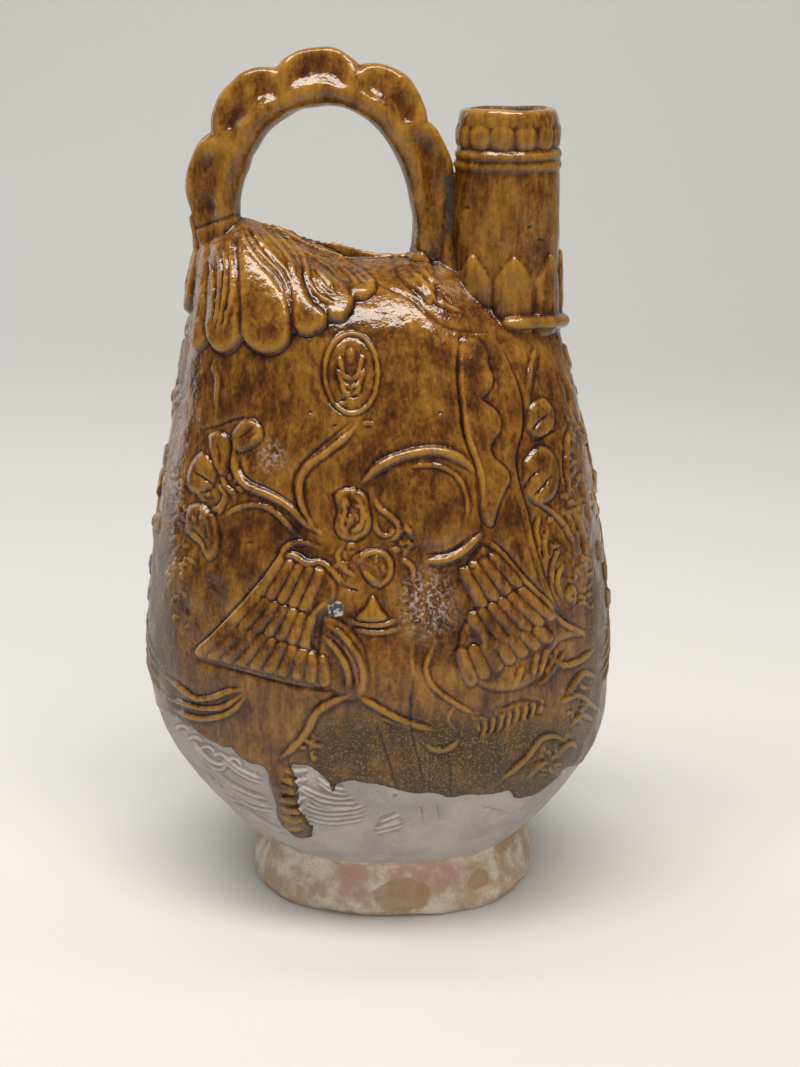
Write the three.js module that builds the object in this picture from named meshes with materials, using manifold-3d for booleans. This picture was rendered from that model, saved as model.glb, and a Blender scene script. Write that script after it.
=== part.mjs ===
// A pouch-shaped flask of glazed earthenware: a flattened hollow body on a ring foot, with a saddle
// top, a pinched loop handle at one end of the saddle and an upright spout at the other.
// Millimetres, +Z up. The carved front faces -Y and +X is its right. The origin is on the ground
// under the middle of the body. Everything is one piece of fired clay, so it is one mesh.
import * as THREE from "three";
import { ParametricGeometry } from "three/addons/geometries/ParametricGeometry.js";
import { mergeVertices } from "three/addons/utils/BufferGeometryUtils.js";
import Module from "manifold-3d";

const { clamp, lerp, degToRad, smoothstep } = THREE.MathUtils;

// Body: height, half width and half depth of its rounded oval sections
const BODY_ROWS = [
  [19, 47, 41],
  [26, 54, 47.5],
  [36, 63.5, 54.5],
  [50, 74, 60.5],
  [68, 81.8, 64],
  [90, 83.9, 64],
  [120, 81.3, 60],
  [150, 76.6, 53],
  [180, 70.3, 44],
  [207, 64.5, 33],
  [222, 61, 21],
  [229, 56, 8],
  [230.4, 50, 0],
];
const BODY_HEIGHTS = [19, 25, 33, 43, 56, 72, 90, 110, 131, 152, 172, 190, 205, 216, 224, 228.6, 230.4];
const BODY_COLUMNS = 40;
const OVAL_POWER = 2.25;
// How far the sections lean to the right, by height
const LEAN_ROWS = [
  [19, 4],
  [50, 2.2],
  [80, 0.6],
  [110, 0],
  [231, 0],
];

// Saddle: height of the top ridge along the width, and where the body starts to follow it
const RIDGE_ROWS = [
  [-62, 238],
  [-46, 243],
  [-28, 235.5],
  [-8, 229.3],
  [6, 229.3],
  [16, 230],
  [32, 225],
  [62, 218],
];
const RIDGE_LEVEL = 229.5;
const SADDLE_START = 170;

// Hollow: the same kind of rows, a wall's thickness inside the body
const HOLLOW_ROWS = [
  [18, 34, 28],
  [24, 46, 39],
  [34, 57, 48],
  [44, 64, 52],
  [60, 72, 57],
  [90, 77.5, 58],
  [120, 75, 54],
  [150, 70.3, 47],
  [180, 64, 38],
  [200, 59, 29.5],
  [212, 55, 20],
  [219, 50, 12],
  [223, 40, 0],
];
const HOLLOW_HEIGHTS = [18, 24, 35, 52, 80, 115, 150, 180, 203, 216, 223];
const HOLLOW_COLUMNS = 24;

// Ring foot: an oval band under the body with a sunk base
const FOOT_CENTRE = 5;
const FOOT_ROWS = [
  [0, 52.6, 44.8],
  [3, 53.6, 45.7],
  [19.5, 50.8, 43.2],
  [22.5, 48, 41],
];
const RECESS_ROWS = [
  [-1, 43.5, 35.5],
  [8, 41, 33.5],
];
const FOOT_COLUMNS = 36;
const RECESS_COLUMNS = 24;

// Spout: radius by height round its own axis, with two raised lines under the rim band
const SPOUT_X = 44;
const RIM_HEIGHT = 280.1;
const BORE_RADIUS = 12;
const SPOUT_PROFILE = [
  [16.5, 204],
  [18.3, 214],
  [18.2, 240],
  [18.0, 260.2],
  [19.2, 261.9],
  [18.1, 263.6],
  [19.3, 265.4],
  [17.8, 267.1],
  [17.1, 278.6],
  [16.2, RIM_HEIGHT],
];
const SPOUT_SIDES = 22;
const LAPPET_COUNT = 13;
const LAPPET = { height: 271.4, halfHeight: 3.7, halfWidth: 3.7, rise: 1.5, radius: 17.3, turn: -127.3 };
const COLLAR = { leaves: 8, base: 205, valley: 225.2, tip: 232.2, radius: 20.8, topRadius: 19.7, turn: -84 };
const FLANGE = { low: 207.1, high: 211.3, radius: 22.3, tilt: 2.6, from: -83, to: 118 };

// Handle: a loop seen from the front as an inner and an outer edge round one centre
const LOOP_X = -18;
const LOOP_Z = 255;
const BUMP_ANGLES = [180, 132, 90, 53, 9];
const VALLEY_ANGLES = [206, 155, 111, 72, 31, -14];
const VALLEY_RADIUS = 40.4;
const BUMP_RISE = [5.6, 4.4, 4.4, 4.4, 3.4];
const INNER_RADIUS = [
  [-14, 31],
  [0, 28],
  [14, 26.8],
  [60, 26.4],
  [90, 25.6],
  [130, 25.4],
  [165, 25.6],
  [196, 30],
];
const ARCH = { from: 190, to: -10, steps: 28 };
const LEFT_LEG = [
  [-58, 224, -44, 224],
  [-60.5, 236, -47, 236],
];
const RIGHT_LEG = [
  [20.6, 244, 12.6, 244],
  [21, 236, 12.4, 236],
  [25, 224, 9, 222],
];
const HANDLE_SIDES = 10;
const HANDLE_DEPTH = { left: 8, right: 6.4, edge: 0.42, dish: 0.3 };

// The eye point that the carving's drawing is taken from: its figures are drawn in millimetres in
// the flask's middle plane and carried along the lines of sight onto the front wall
const EYE = new THREE.Vector3(8, -550, 310);
const LINE = { halfWidth: 1.15, rise: 1.25, root: 1.1 };
const FEATHER = { halfWidth: 2, rise: 1.6 };
const BAND = { halfWidth: 1.9, rise: 1.7 };

// Fan of petals under the handle's left foot: root, tip, half width and rise of each
const FRONT_PETALS = [
  { root: [-51, 235], tip: [-52.5, 197.5], halfWidth: 6.6, rise: 3 },
  { root: [-46, 238], tip: [-37.5, 197.5], halfWidth: 8.4, rise: 3.3 },
  { root: [-41, 237], tip: [-22.5, 204], halfWidth: 6.6, rise: 3 },
  { root: [-34, 233], tip: [-11.5, 209], halfWidth: 5.6, rise: 2.8 },
  { root: [-22, 227], tip: [-1, 217], halfWidth: 4.6, rise: 2.4 },
];
const SIDE_PETALS = [-152, 180, 152];
const SIDE_PETAL = { top: 232, foot: 199, halfWidth: 7, rise: 2.6 };
const PETAL_STEPS = 4;
const PETAL_SIDES = 5;

// Corners nearer than this are one corner
const WELD = 0.002;

const wasm = await Module();
wasm.setup();

// Height on a smooth curve through rows, each a position followed by values
function along(rows, at, column = 1) {
  const last = rows.length - 1;
  const here = clamp(at, rows[0][0], rows[last][0]);
  let i = 0;
  while (i < last - 1 && here > rows[i + 1][0]) i++;
  const slope = (k) => (rows[k + 1][column] - rows[k][column]) / (rows[k + 1][0] - rows[k][0]);
  const tangent = (k) => {
    if (k === 0) return slope(0);
    if (k === last) return slope(last - 1);
    const product = slope(k - 1) * slope(k);
    return product <= 0 ? 0 : (2 * product) / (slope(k - 1) + slope(k));
  };
  const span = rows[i + 1][0] - rows[i][0];
  const t = (here - rows[i][0]) / span;
  const rise = rows[i + 1][column] - rows[i][column];
  const blend = t * t * (3 - 2 * t);
  return (
    rows[i][column] +
    rise * blend +
    span * t * (1 - t) * (tangent(i) * (1 - t) - tangent(i + 1) * t)
  );
}

// How much the saddle lifts a body section of a given height at x
function saddleLift(x, height) {
  return smoothstep(height, SADDLE_START, RIDGE_LEVEL) * (along(RIDGE_ROWS, x) - RIDGE_LEVEL);
}

function ovalPoint(rows, height, turn, centre) {
  const power = 2 / OVAL_POWER;
  const c = Math.cos(turn);
  const s = Math.sin(turn);
  const x = centre + along(rows, height, 1) * Math.sign(c) * Math.abs(c) ** power;
  const y = along(rows, height, 2) * Math.sign(s) * Math.abs(s) ** power;
  return new THREE.Vector3(x, y, height);
}

function bodyPoint(rows, height, turn) {
  const point = ovalPoint(rows, height, turn, along(LEAN_ROWS, height));
  point.z += saddleLift(point.x, height);
  return point;
}

// A closed skin through sections of points, drawn together at each end to the section's middle
function loft(sections, columns, closedTop = true) {
  const middle = (section) =>
    section.reduce((sum, p) => sum.add(p), new THREE.Vector3()).divideScalar(section.length);
  const rows = [sections[0].map(() => middle(sections[0])), ...sections];
  if (closedTop) rows.push(sections[0].map(() => middle(sections.at(-1))));
  const place = (u, v, target) =>
    target.copy(rows[Math.round(v * (rows.length - 1))][Math.round(u * columns) % columns]);
  return new ParametricGeometry(place, columns, rows.length - 1);
}

// A geometry as a solid with merged corners and its faces pointing out
function solid(geometry) {
  const bare = new THREE.BufferGeometry();
  const loose = geometry.index ? geometry.toNonIndexed() : geometry;
  const places = Float32Array.from(loose.attributes.position.array, (v) => Math.round(v / WELD) * WELD);
  bare.setAttribute("position", new THREE.BufferAttribute(places, 3));
  const merged = mergeVertices(bare, WELD);
  const corners = Array.from(merged.index.array);
  const faces = [];
  for (let i = 0; i < corners.length; i += 3) {
    const [a, b, c] = corners.slice(i, i + 3);
    if (a !== b && b !== c && c !== a) faces.push([a, b, c]);
  }
  const build = (list) =>
    new wasm.Manifold(
      new wasm.Mesh({
        numProp: 3,
        vertProperties: merged.attributes.position.array,
        triVerts: new Uint32Array(list.flat()),
      }),
    );
  const made = build(faces);
  return made.volume() > 0 ? made : build(faces.map(([a, b, c]) => [a, c, b]));
}

function ring(count, at) {
  return Array.from({ length: count }, (_, i) => at(i, i / count));
}

function body() {
  const sections = BODY_HEIGHTS.map((height) =>
    ring(BODY_COLUMNS, (_, part) => bodyPoint(BODY_ROWS, height, part * 2 * Math.PI)),
  );
  return solid(loft(sections, BODY_COLUMNS, false));
}

function hollow() {
  const sections = HOLLOW_HEIGHTS.map((height) =>
    ring(HOLLOW_COLUMNS, (_, part) => bodyPoint(HOLLOW_ROWS, height, part * 2 * Math.PI)),
  );
  return solid(loft(sections, HOLLOW_COLUMNS, false));
}

function ovalDrum(rows, columns) {
  const sections = rows.map(([height]) =>
    ring(columns, (_, part) => ovalPoint(rows, height, part * 2 * Math.PI, FOOT_CENTRE)),
  );
  return solid(loft(sections, columns));
}

function lathe(profile, sides) {
  const points = [[0, profile[0][1]], ...profile, [0, profile.at(-1)[1]]];
  const geometry = new THREE.LatheGeometry(points.map(([r, z]) => new THREE.Vector2(r, z)), sides);
  return solid(geometry.rotateX(Math.PI / 2).translate(SPOUT_X, 0, 0));
}

function bore() {
  const profile = [
    [BORE_RADIUS, 198],
    [BORE_RADIUS, RIM_HEIGHT + 1],
  ];
  return lathe(profile, SPOUT_SIDES);
}

// A point round the spout's axis
function spoutPoint(radius, degrees, height) {
  const turn = degToRad(degrees);
  return new THREE.Vector3(SPOUT_X + radius * Math.cos(turn), radius * Math.sin(turn), height);
}

function lappets() {
  return ring(LAPPET_COUNT, (_, part) => {
    const degrees = LAPPET.turn + 360 * part;
    const at = spoutPoint(LAPPET.radius, degrees, LAPPET.height);
    const bead = new THREE.SphereGeometry(1, 4, 3)
      .rotateX(Math.PI / 2)
      .scale(LAPPET.rise, LAPPET.halfWidth, LAPPET.halfHeight)
      .rotateZ(degToRad(degrees))
      .translate(at.x, at.y, at.z);
    return solid(bead);
  });
}

// The collar's upper edge is cut into pointed leaves
function collar() {
  const steps = COLLAR.leaves * 4;
  const sections = ring(steps, (_, part) => {
    const degrees = COLLAR.turn + 360 * part;
    const phase = (part * COLLAR.leaves) % 1;
    const top = lerp(COLLAR.tip, COLLAR.valley, 1 - Math.abs(1 - 2 * phase));
    return [
      spoutPoint(15, degrees, COLLAR.base),
      spoutPoint(COLLAR.radius, degrees, COLLAR.base),
      spoutPoint(COLLAR.radius, degrees, COLLAR.valley - 6),
      spoutPoint(COLLAR.topRadius, degrees, top - 0.8),
      spoutPoint(15, degrees, top + 0.8),
    ];
  });
  const closed = new ParametricGeometry(
    (u, v, target) => target.copy(sections[Math.round(v * steps) % steps][Math.round(u * 5) % 5]),
    5,
    steps,
  );
  return solid(closed);
}

// A thin flange round the collar's foot, higher at the front, where it runs out into the wall
function flange() {
  const steps = 16;
  const sections = Array.from({ length: steps + 1 }, (_, i) => {
    const degrees = lerp(FLANGE.from, FLANGE.to, i / steps);
    const lift = -FLANGE.tilt * Math.sin(degToRad(degrees));
    const low = FLANGE.low + lift;
    const high = FLANGE.high + lift;
    return [
      spoutPoint(16, degrees, low),
      spoutPoint(FLANGE.radius - 1, degrees, low),
      spoutPoint(FLANGE.radius, degrees, (low + high) / 2),
      spoutPoint(FLANGE.radius - 1.4, degrees, high),
      spoutPoint(16, degrees, high + 1),
    ];
  });
  return solid(loft(sections, 5));
}

// How far up a bump of the pinched edge an angle lies: 0 in a valley, 1 on a crest
function bumpShare(degrees) {
  const share = BUMP_ANGLES.map((crest, i) => {
    const side = degrees > crest ? VALLEY_ANGLES[i] : VALLEY_ANGLES[i + 1];
    const off = clamp(Math.abs((degrees - crest) / (side - crest)), 0, 1);
    return [Math.cos((off * Math.PI) / 2) ** 0.8, BUMP_RISE[i]];
  });
  return share.reduce((best, one) => (one[0] > best[0] ? one : best));
}

function handle() {
  const stations = LEFT_LEG.map((edge) => [...edge, 0]);
  for (let i = 0; i <= ARCH.steps; i++) {
    const degrees = lerp(ARCH.from, ARCH.to, i / ARCH.steps);
    const [share, rise] = bumpShare(degrees);
    const outer = VALLEY_RADIUS + rise * share;
    const inner = along(INNER_RADIUS, degrees);
    const c = Math.cos(degToRad(degrees));
    const s = Math.sin(degToRad(degrees));
    stations.push([LOOP_X + outer * c, LOOP_Z + outer * s, LOOP_X + inner * c, LOOP_Z + inner * s, share]);
  }
  stations.push(...RIGHT_LEG.map((edge) => [...edge, 0]));
  const sections = stations.map(([outerX, outerZ, innerX, innerZ, share], i) => {
    const depth = lerp(HANDLE_DEPTH.left, HANDLE_DEPTH.right, i / (stations.length - 1));
    return ring(HANDLE_SIDES, (_, part) => {
      const turn = part * 2 * Math.PI;
      const out = (1 + Math.cos(turn)) / 2;
      const pinch = 1 - HANDLE_DEPTH.edge * out - HANDLE_DEPTH.dish * share * smoothstep(out, 0.3, 0.8);
      const y = depth * Math.sin(turn) * pinch;
      return new THREE.Vector3(lerp(innerX, outerX, out), y, lerp(innerZ, outerZ, out));
    });
  });
  return solid(loft(sections, HANDLE_SIDES));
}

// 1 on the body's skin, less inside it and more outside
function shell(point) {
  let height = point.z;
  for (let i = 0; i < 8; i++) height = point.z - saddleLift(point.x, height);
  const x = Math.abs(point.x - along(LEAN_ROWS, height)) / along(BODY_ROWS, height, 1);
  const y = Math.abs(point.y) / Math.max(along(BODY_ROWS, height, 2), 0.5);
  return (x ** OVAL_POWER + y ** OVAL_POWER) ** (1 / OVAL_POWER);
}

function skinNormal(point) {
  const slope = (axis) => {
    const high = point.clone().addScaledVector(axis, 0.2);
    const low = point.clone().addScaledVector(axis, -0.2);
    return shell(high) - shell(low);
  };
  const [x, y, z] = [
    new THREE.Vector3(1, 0, 0),
    new THREE.Vector3(0, 1, 0),
    new THREE.Vector3(0, 0, 1),
  ].map(slope);
  return new THREE.Vector3(x, y, z).normalize();
}

// Where the line of sight through a drawn point meets the front wall
function seen(x, z) {
  const drawn = new THREE.Vector3(x, 0, z);
  let near = 0.8;
  let far = 1;
  for (let i = 0; i < 30; i++) {
    const half = (near + far) / 2;
    if (shell(EYE.clone().lerp(drawn, half)) > 1) near = half;
    else far = half;
  }
  return EYE.clone().lerp(drawn, far);
}

// The same point of the drawing on the back wall
function behind(x, z) {
  const point = seen(x, z);
  point.y = -point.y;
  return point;
}

// A raised three-sided line that follows the wall through drawn points
function line(points, shape = LINE, steps = points.length, onto = seen) {
  const { halfWidth, rise, root } = { ...LINE, ...shape };
  const curve = new THREE.CatmullRomCurve3(points.map(([x, z]) => new THREE.Vector3(x, 0, z)), false, "catmullrom");
  const route = Array.from({ length: steps + 1 }, (_, i) => {
    const drawn = curve.getPoint(i / steps);
    return onto(drawn.x, drawn.z);
  });
  const sections = route.map((at, i) => {
    const way = route[Math.min(i + 1, steps)].clone().sub(route[Math.max(i - 1, 0)]).normalize();
    const out = skinNormal(at);
    const side = new THREE.Vector3().crossVectors(out, way).normalize();
    const full = i === 0 || i === steps ? 0.35 : 1;
    const foot = at.clone().addScaledVector(out, -root);
    const edge = halfWidth * full * (1 + root / rise);
    return [
      foot.clone().addScaledVector(side, -edge),
      foot.clone().addScaledVector(side, edge),
      at.clone().addScaledVector(out, rise * full),
    ];
  });
  return solid(loft(sections, 3));
}

// Part of an oval drawn by its middle, half sizes and the degrees it runs through
function arc(x, z, halfX, halfZ, from, to, count) {
  return Array.from({ length: count + 1 }, (_, i) => {
    const turn = degToRad(lerp(from, to, i / count));
    return [x + halfX * Math.cos(turn), z + halfZ * Math.sin(turn)];
  });
}

// A row of feathers between the line of their roots and the line of their tips
function featherRow(count, rootA, rootB, tipA, tipB, onto) {
  return ring(count, (i) => {
    const part = i / (count - 1);
    const root = [lerp(rootA[0], rootB[0], part), lerp(rootA[1], rootB[1], part)];
    const tip = [lerp(tipA[0], tipB[0], part), lerp(tipA[1], tipB[1], part)];
    return line([root, tip], FEATHER, 2, onto);
  });
}

function wings(onto) {
  return [
    ...featherRow(4, [-35.5, 121], [-21, 116.5], [-43, 108], [-27, 102], onto),
    ...featherRow(5, [-43, 106.5], [-24.5, 98], [-53, 97], [-27, 87.5], onto),
    ...featherRow(6, [-52, 95.5], [-20.5, 82], [-66, 85], [-20, 73], onto),
    ...featherRow(4, [42, 122.5], [31, 117], [51, 112], [38, 103.5], onto),
    ...featherRow(5, [51, 109], [33, 99], [63, 99], [41, 86.5], onto),
    ...featherRow(5, [57, 94], [30, 85], [62, 90.5], [34.5, 72.5], onto),
    line([[-18, 124], [-29, 127.5], [-37, 120], [-52, 101], [-67, 87]], LINE, 6, onto),
    line([[20, 121], [31, 124], [38, 131], [52, 115], [71, 95]], LINE, 6, onto),
  ];
}

// The bird's breast, its dish and stand, its tail feathers and its running legs
function bird(onto) {
  return [
    line(arc(-20, 79, 15, 22, 72, -28, 5), BAND, 6, onto),
    line(arc(-22, 80, 11, 15, 75, -30, 4), LINE, 4, onto),
    line([[-10, 67], [-23, 60], [-29, 50], [-37, 42]], BAND, 5, onto),
    line([[-8, 66], [3, 60], [10, 57], [20, 54]], BAND, 4, onto),
    line([[20, 91], [18, 79], [23, 69], [34, 61]], LINE, 4, onto),
    line([[-10, 98], [-2, 94.5], [7, 96]], LINE, 4, onto),
    line([[-2, 107], [-5.5, 98]], LINE, 2, onto),
    line([[-2, 107], [2, 98]], LINE, 2, onto),
  ];
}

// The blossom, the round sun behind it and the oval jewel over it
function medallions(onto) {
  return [
    line(arc(16, 140, 17, 18, -95, 225, 12), BAND, 13, onto),
    line(arc(-8, 190, 10, 14, -80, 270, 9), LINE, 11, onto),
    line(arc(-9, 138.5, 6, 9, -90, 270, 7), LINE, 8, onto),
    line([[-9, 172], [-22, 161], [-28, 149], [-26, 138], [-19, 129]], LINE, 6, onto),
    line([[18, 121], [27, 122], [38, 131]], LINE, 3, onto),
  ];
}

// Leaves on curling stems at both sides of the figure, and the ribbon that falls at its right
function foliage(onto) {
  return [
    line([[-20, 129], [-33, 139], [-44, 147], [-50, 156], [-51, 163]], BAND, 6, onto),
    line(arc(-46, 168, 6.5, 5, -110, 190, 5), BAND, 6, onto),
    line([[-58, 169], [-60, 163], [-55, 153]], LINE, 3, onto),
    line([[-24, 131], [-42, 141], [-56, 136]], LINE, 4, onto),
    line(arc(-61, 130, 4.5, 9, -160, 110, 4), LINE, 5, onto),
    line([[29, 196], [29.5, 178], [33, 158], [38, 134]], LINE, 5, onto),
    line([[38, 194], [40.5, 186], [37, 180], [43.5, 171], [40, 163], [47, 152], [43, 144]], LINE, 8, onto),
    line([[45, 198], [51, 182], [49, 160], [53, 138], [60, 114], [70, 95.5]], LINE, 8, onto),
    line(arc(58, 173, 5, 7.5, -60, 200, 5), BAND, 6, onto),
    line(arc(57.5, 152, 6.5, 10, -130, 140, 6), BAND, 6, onto),
    line([[64, 171], [67, 150], [72, 130]], LINE, 4, onto),
  ];
}

// Hills at the right foot and waves at the left
function ground(onto) {
  return [
    line([[48, 33], [60, 46], [64, 51], [70, 49]], BAND, 4, onto),
    line([[68, 67], [74, 68], [78, 74]], BAND, 3, onto),
    line([[-78, 75], [-66, 65], [-50, 69]], BAND, 4, onto),
    line([[-76, 65], [-63, 58], [-51, 67]], LINE, 4, onto),
  ];
}

// The unseen back wall carries the sun, the jewel, one stem and one ribbon only
function plainBack() {
  return [
    line(arc(16, 140, 17, 18, -95, 225, 12), BAND, 12, behind),
    line(arc(-8, 190, 10, 14, -80, 270, 9), LINE, 9, behind),
    line([[-20, 129], [-33, 139], [-44, 147], [-50, 156], [-51, 163]], BAND, 5, behind),
    line([[29, 196], [29.5, 178], [33, 158], [38, 134]], LINE, 4, behind),
    line([[-30, 108], [-10, 98], [12, 100], [34, 110]], BAND, 5, behind),
    line([[-36, 84], [-12, 74], [14, 76], [40, 86]], BAND, 5, behind),
  ];
}

// A rounded petal with its back sunk in the wall, from a root to a tip on the skin
function petal(root, tip, halfWidth, rise) {
  const sections = Array.from({ length: PETAL_STEPS + 1 }, (_, i) => {
    const part = 0.97 * Math.sin((i / PETAL_STEPS) * (Math.PI / 2));
    const round = Math.sqrt(1 - clamp((part - 0.7) / 0.3, 0, 1) ** 2);
    const wide = halfWidth * lerp(0.3, 1, smoothstep(part, 0, 0.8)) * round;
    const high = rise * lerp(0.35, 1, part) * lerp(0.55, 1, round);
    const middle = root.clone().lerp(tip, part);
    const out = skinNormal(middle);
    const side = tip.clone().sub(root).cross(out).normalize();
    return ring(PETAL_SIDES, (k) => {
      const turn = (Math.PI * k) / (PETAL_SIDES - 1);
      const place = ontoSkin(middle.clone().addScaledVector(side, wide * Math.cos(turn)));
      const up = k === 0 || k === PETAL_SIDES - 1 ? -2.5 : high * Math.sin(turn) ** 0.5;
      return place.addScaledVector(out, up);
    });
  });
  return solid(loft(sections, PETAL_SIDES));
}

// The skin's point nearest to one, sought along the skin's own slope
function ontoSkin(point) {
  const place = point.clone();
  for (let i = 0; i < 4; i++) {
    const out = skinNormal(place);
    const step = 0.5;
    const gain = shell(place.clone().addScaledVector(out, step)) - shell(place);
    place.addScaledVector(out, clamp(((1 - shell(place)) * step) / gain, -6, 6));
  }
  return place;
}

function petals() {
  const made = [];
  for (const { root, tip, halfWidth, rise } of FRONT_PETALS) {
    made.push(petal(seen(...root), seen(...tip), halfWidth, rise));
  }
  for (const { root, tip, halfWidth, rise } of FRONT_PETALS.slice(1, 4)) {
    made.push(petal(behind(...root), behind(...tip), halfWidth, rise));
  }
  for (const degrees of SIDE_PETALS) {
    const { top, foot, halfWidth, rise } = SIDE_PETAL;
    const at = (height) => bodyPoint(BODY_ROWS, height, degToRad(degrees));
    made.push(petal(at(top - 8), at(foot), halfWidth, rise));
  }
  return made;
}

function fired() {
  const clay = [
    body(),
    ovalDrum(FOOT_ROWS, FOOT_COLUMNS),
    handle(),
    lathe(SPOUT_PROFILE, SPOUT_SIDES),
    collar(),
    flange(),
    ...lappets(),
    ...petals(),
    ...wings(seen),
    ...bird(seen),
    ...medallions(seen),
    ...foliage(seen),
    ...ground(seen),
    ...plainBack(),
  ];
  const joined = clay.reduce((sum, piece) => sum.add(piece));
  return [hollow(), bore(), ovalDrum(RECESS_ROWS, RECESS_COLUMNS)].reduce((left, cut) => left.subtract(cut), joined);
}

function geometryOf(made) {
  const { numProp, vertProperties, triVerts } = made.getMesh();
  const places = [];
  for (let i = 0; i < vertProperties.length; i += numProp) {
    places.push(vertProperties[i], vertProperties[i + 1], vertProperties[i + 2]);
  }
  const geometry = new THREE.BufferGeometry();
  geometry.setAttribute("position", new THREE.Float32BufferAttribute(places, 3));
  geometry.setIndex(Array.from(triVerts));
  return geometry;
}

// Closes the hair cracks that joining leaves, and drops the crumbs that this sets free
function wholeBody(made) {
  const bodies = solid(geometryOf(made)).decompose();
  return bodies.reduce((best, one) => (one.volume() > best.volume() ? one : best));
}

const glaze = new THREE.MeshStandardMaterial({ color: "#8a4f14", roughness: 0.18, metalness: 0 });
const flask = new THREE.Mesh(geometryOf(wholeBody(fired())), glaze);
flask.geometry.computeVertexNormals();
flask.name = "flask";

const group = new THREE.Group();
group.add(flask);
export default group;
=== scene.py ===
"""A pouch-shaped flask: carved earthenware under an amber lead glaze that stops short of its foot."""

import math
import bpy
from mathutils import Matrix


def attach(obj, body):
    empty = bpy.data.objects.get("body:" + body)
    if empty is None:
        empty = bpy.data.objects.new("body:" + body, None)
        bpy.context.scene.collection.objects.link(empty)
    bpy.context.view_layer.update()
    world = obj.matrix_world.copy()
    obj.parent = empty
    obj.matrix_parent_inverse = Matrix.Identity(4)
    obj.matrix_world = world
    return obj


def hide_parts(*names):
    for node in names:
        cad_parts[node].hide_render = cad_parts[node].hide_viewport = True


bl_info = {
    "name": "Amber glazed pouch flask",
    "version": (1, 0, 0),
    "blender": (4, 5, 0),
    "location": "3D View > Sidebar > Flask",
    "description": "Builds a carved pouch-shaped flask with a loop handle and a spout",
    "category": "Add Mesh",
}

import bmesh
import bpy
import numpy as np
from bpy.props import FloatProperty, FloatVectorProperty, IntProperty, PointerProperty
from mathutils import Vector

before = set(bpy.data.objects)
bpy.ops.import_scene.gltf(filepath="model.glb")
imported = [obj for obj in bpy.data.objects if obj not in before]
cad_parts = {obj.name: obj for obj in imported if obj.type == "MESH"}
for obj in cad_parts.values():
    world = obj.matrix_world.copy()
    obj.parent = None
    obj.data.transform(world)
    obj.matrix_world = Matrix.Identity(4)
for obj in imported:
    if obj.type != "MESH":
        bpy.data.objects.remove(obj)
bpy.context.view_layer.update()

# Everything below is in millimetres in the flask's frame, and becomes metres when a mesh is made
MM = 0.001

# Body: height, half width and half depth of its rounded oval sections
BODY_ROWS = [
    [19, 47, 41],
    [26, 54, 47.5],
    [36, 63.5, 54.5],
    [50, 74, 60.5],
    [68, 81.8, 64],
    [90, 83.9, 64],
    [120, 81.3, 60],
    [150, 76.6, 53],
    [180, 70.3, 44],
    [207, 64.5, 33],
    [222, 61, 21],
    [229, 56, 8],
    [230.4, 50, 0],
]
OVAL_POWER = 2.25
LEAN_ROWS = [[19, 4], [50, 2.2], [80, 0.6], [110, 0], [231, 0]]

# Saddle: height of the top ridge along the width
RIDGE_ROWS = [[-62, 238], [-46, 243], [-28, 235.5], [-8, 229.3], [6, 229.3], [16, 230], [32, 225], [62, 218]]
RIDGE_LEVEL = 229.5
SADDLE_START = 170

# Hollow: the same kind of rows, a wall's thickness inside the body
HOLLOW_ROWS = [
    [18, 34, 28],
    [24, 46, 39],
    [34, 57, 48],
    [44, 64, 52],
    [60, 72, 57],
    [90, 77.5, 58],
    [120, 75, 54],
    [150, 70.3, 47],
    [180, 64, 38],
    [200, 59, 29.5],
    [212, 55, 20],
    [219, 50, 12],
    [223, 40, 0],
]

# Ring foot: height, half width and half depth, from the sunk base round under the ring to its top
FOOT_CENTRE = 5
FOOT_ROWS = [
    [8, 38, 31],
    [7.4, 41, 33.5],
    [1.2, 43.2, 35.3],
    [0, 45, 37.2],
    [0, 51.4, 43.6],
    [0.8, 52.9, 45.1],
    [3, 53.6, 45.7],
    [9, 52.6, 44.8],
    [15, 50.4, 42.8],
    [19, 48.6, 41.2],
    [22.5, 47, 40],
]

# Spout: radius by height round its own axis
SPOUT_X = 44
SPOUT_PROFILE = [
    [204, 0],
    [204, 16.2],
    [214, 17.8],
    [240, 17.8],
    [258, 17.1],
    [260.4, 16.7],
    [261.1, 17.1],
    [262.0, 17.8],
    [262.9, 17.2],
    [263.6, 16.6],
    [264.6, 17.0],
    [265.5, 17.8],
    [266.4, 17.1],
    [267.1, 16.1],
    [274.6, 15.8],
    [275.4, 16.5],
    [277.0, 16.2],
    [279.4, 15.6],
    [280.1, 14.9],
    [280.1, 0],
]
SPOUT_WIDEST = 19.0
# Heights and radii of the bore, which flares at the lip
BORE_PROFILE = [[196.0, 12], [276.5, 12], [279.6, 12.5], [280.6, 13.2], [286.0, 13.4]]
SPOUT_SIDES, SPOUT_ROWS = 129, 300
# Gap within which the turned sheet's seam is closed
WELD = 0.01
LAPPET = {
    "height": 271.3,
    "half_height": 3.9,
    "half_width": 3.65,
    "rise": 1.7,
    "radius": 15.6,
    "turn": -127.3,
}
LEAF = {
    "base": 207,
    "valley": 225.2,
    "tip": 233.2,
    "radius": 17.2,
    "rise": 2.5,
    "spine": 0.5,
    "turn": -84,
}
LEAF_THICKNESS = 2.5
FLANGE = {"low": 207.3, "high": 211.1, "radius": 22.4, "tilt": 2.6, "start": -97, "end": 118}

# Handle: a loop seen from the front as an inner and an outer edge round one centre
LOOP_X, LOOP_Z = -18, 255
BUMP_ANGLES = [180, 132, 90, 53, 9]
VALLEY_ANGLES = [206, 155, 111, 72, 31, -14]
VALLEY_RADIUS = 40.4
BUMP_RISE = [5.6, 4.4, 4.4, 4.4, 3.4]
INNER_RADIUS = [[-14, 31], [0, 28], [14, 26.8], [60, 26.4], [90, 25.6], [130, 25.4], [165, 25.6], [196, 30]]
ARCH = {"start": 190, "end": -10, "steps": 220}
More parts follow.
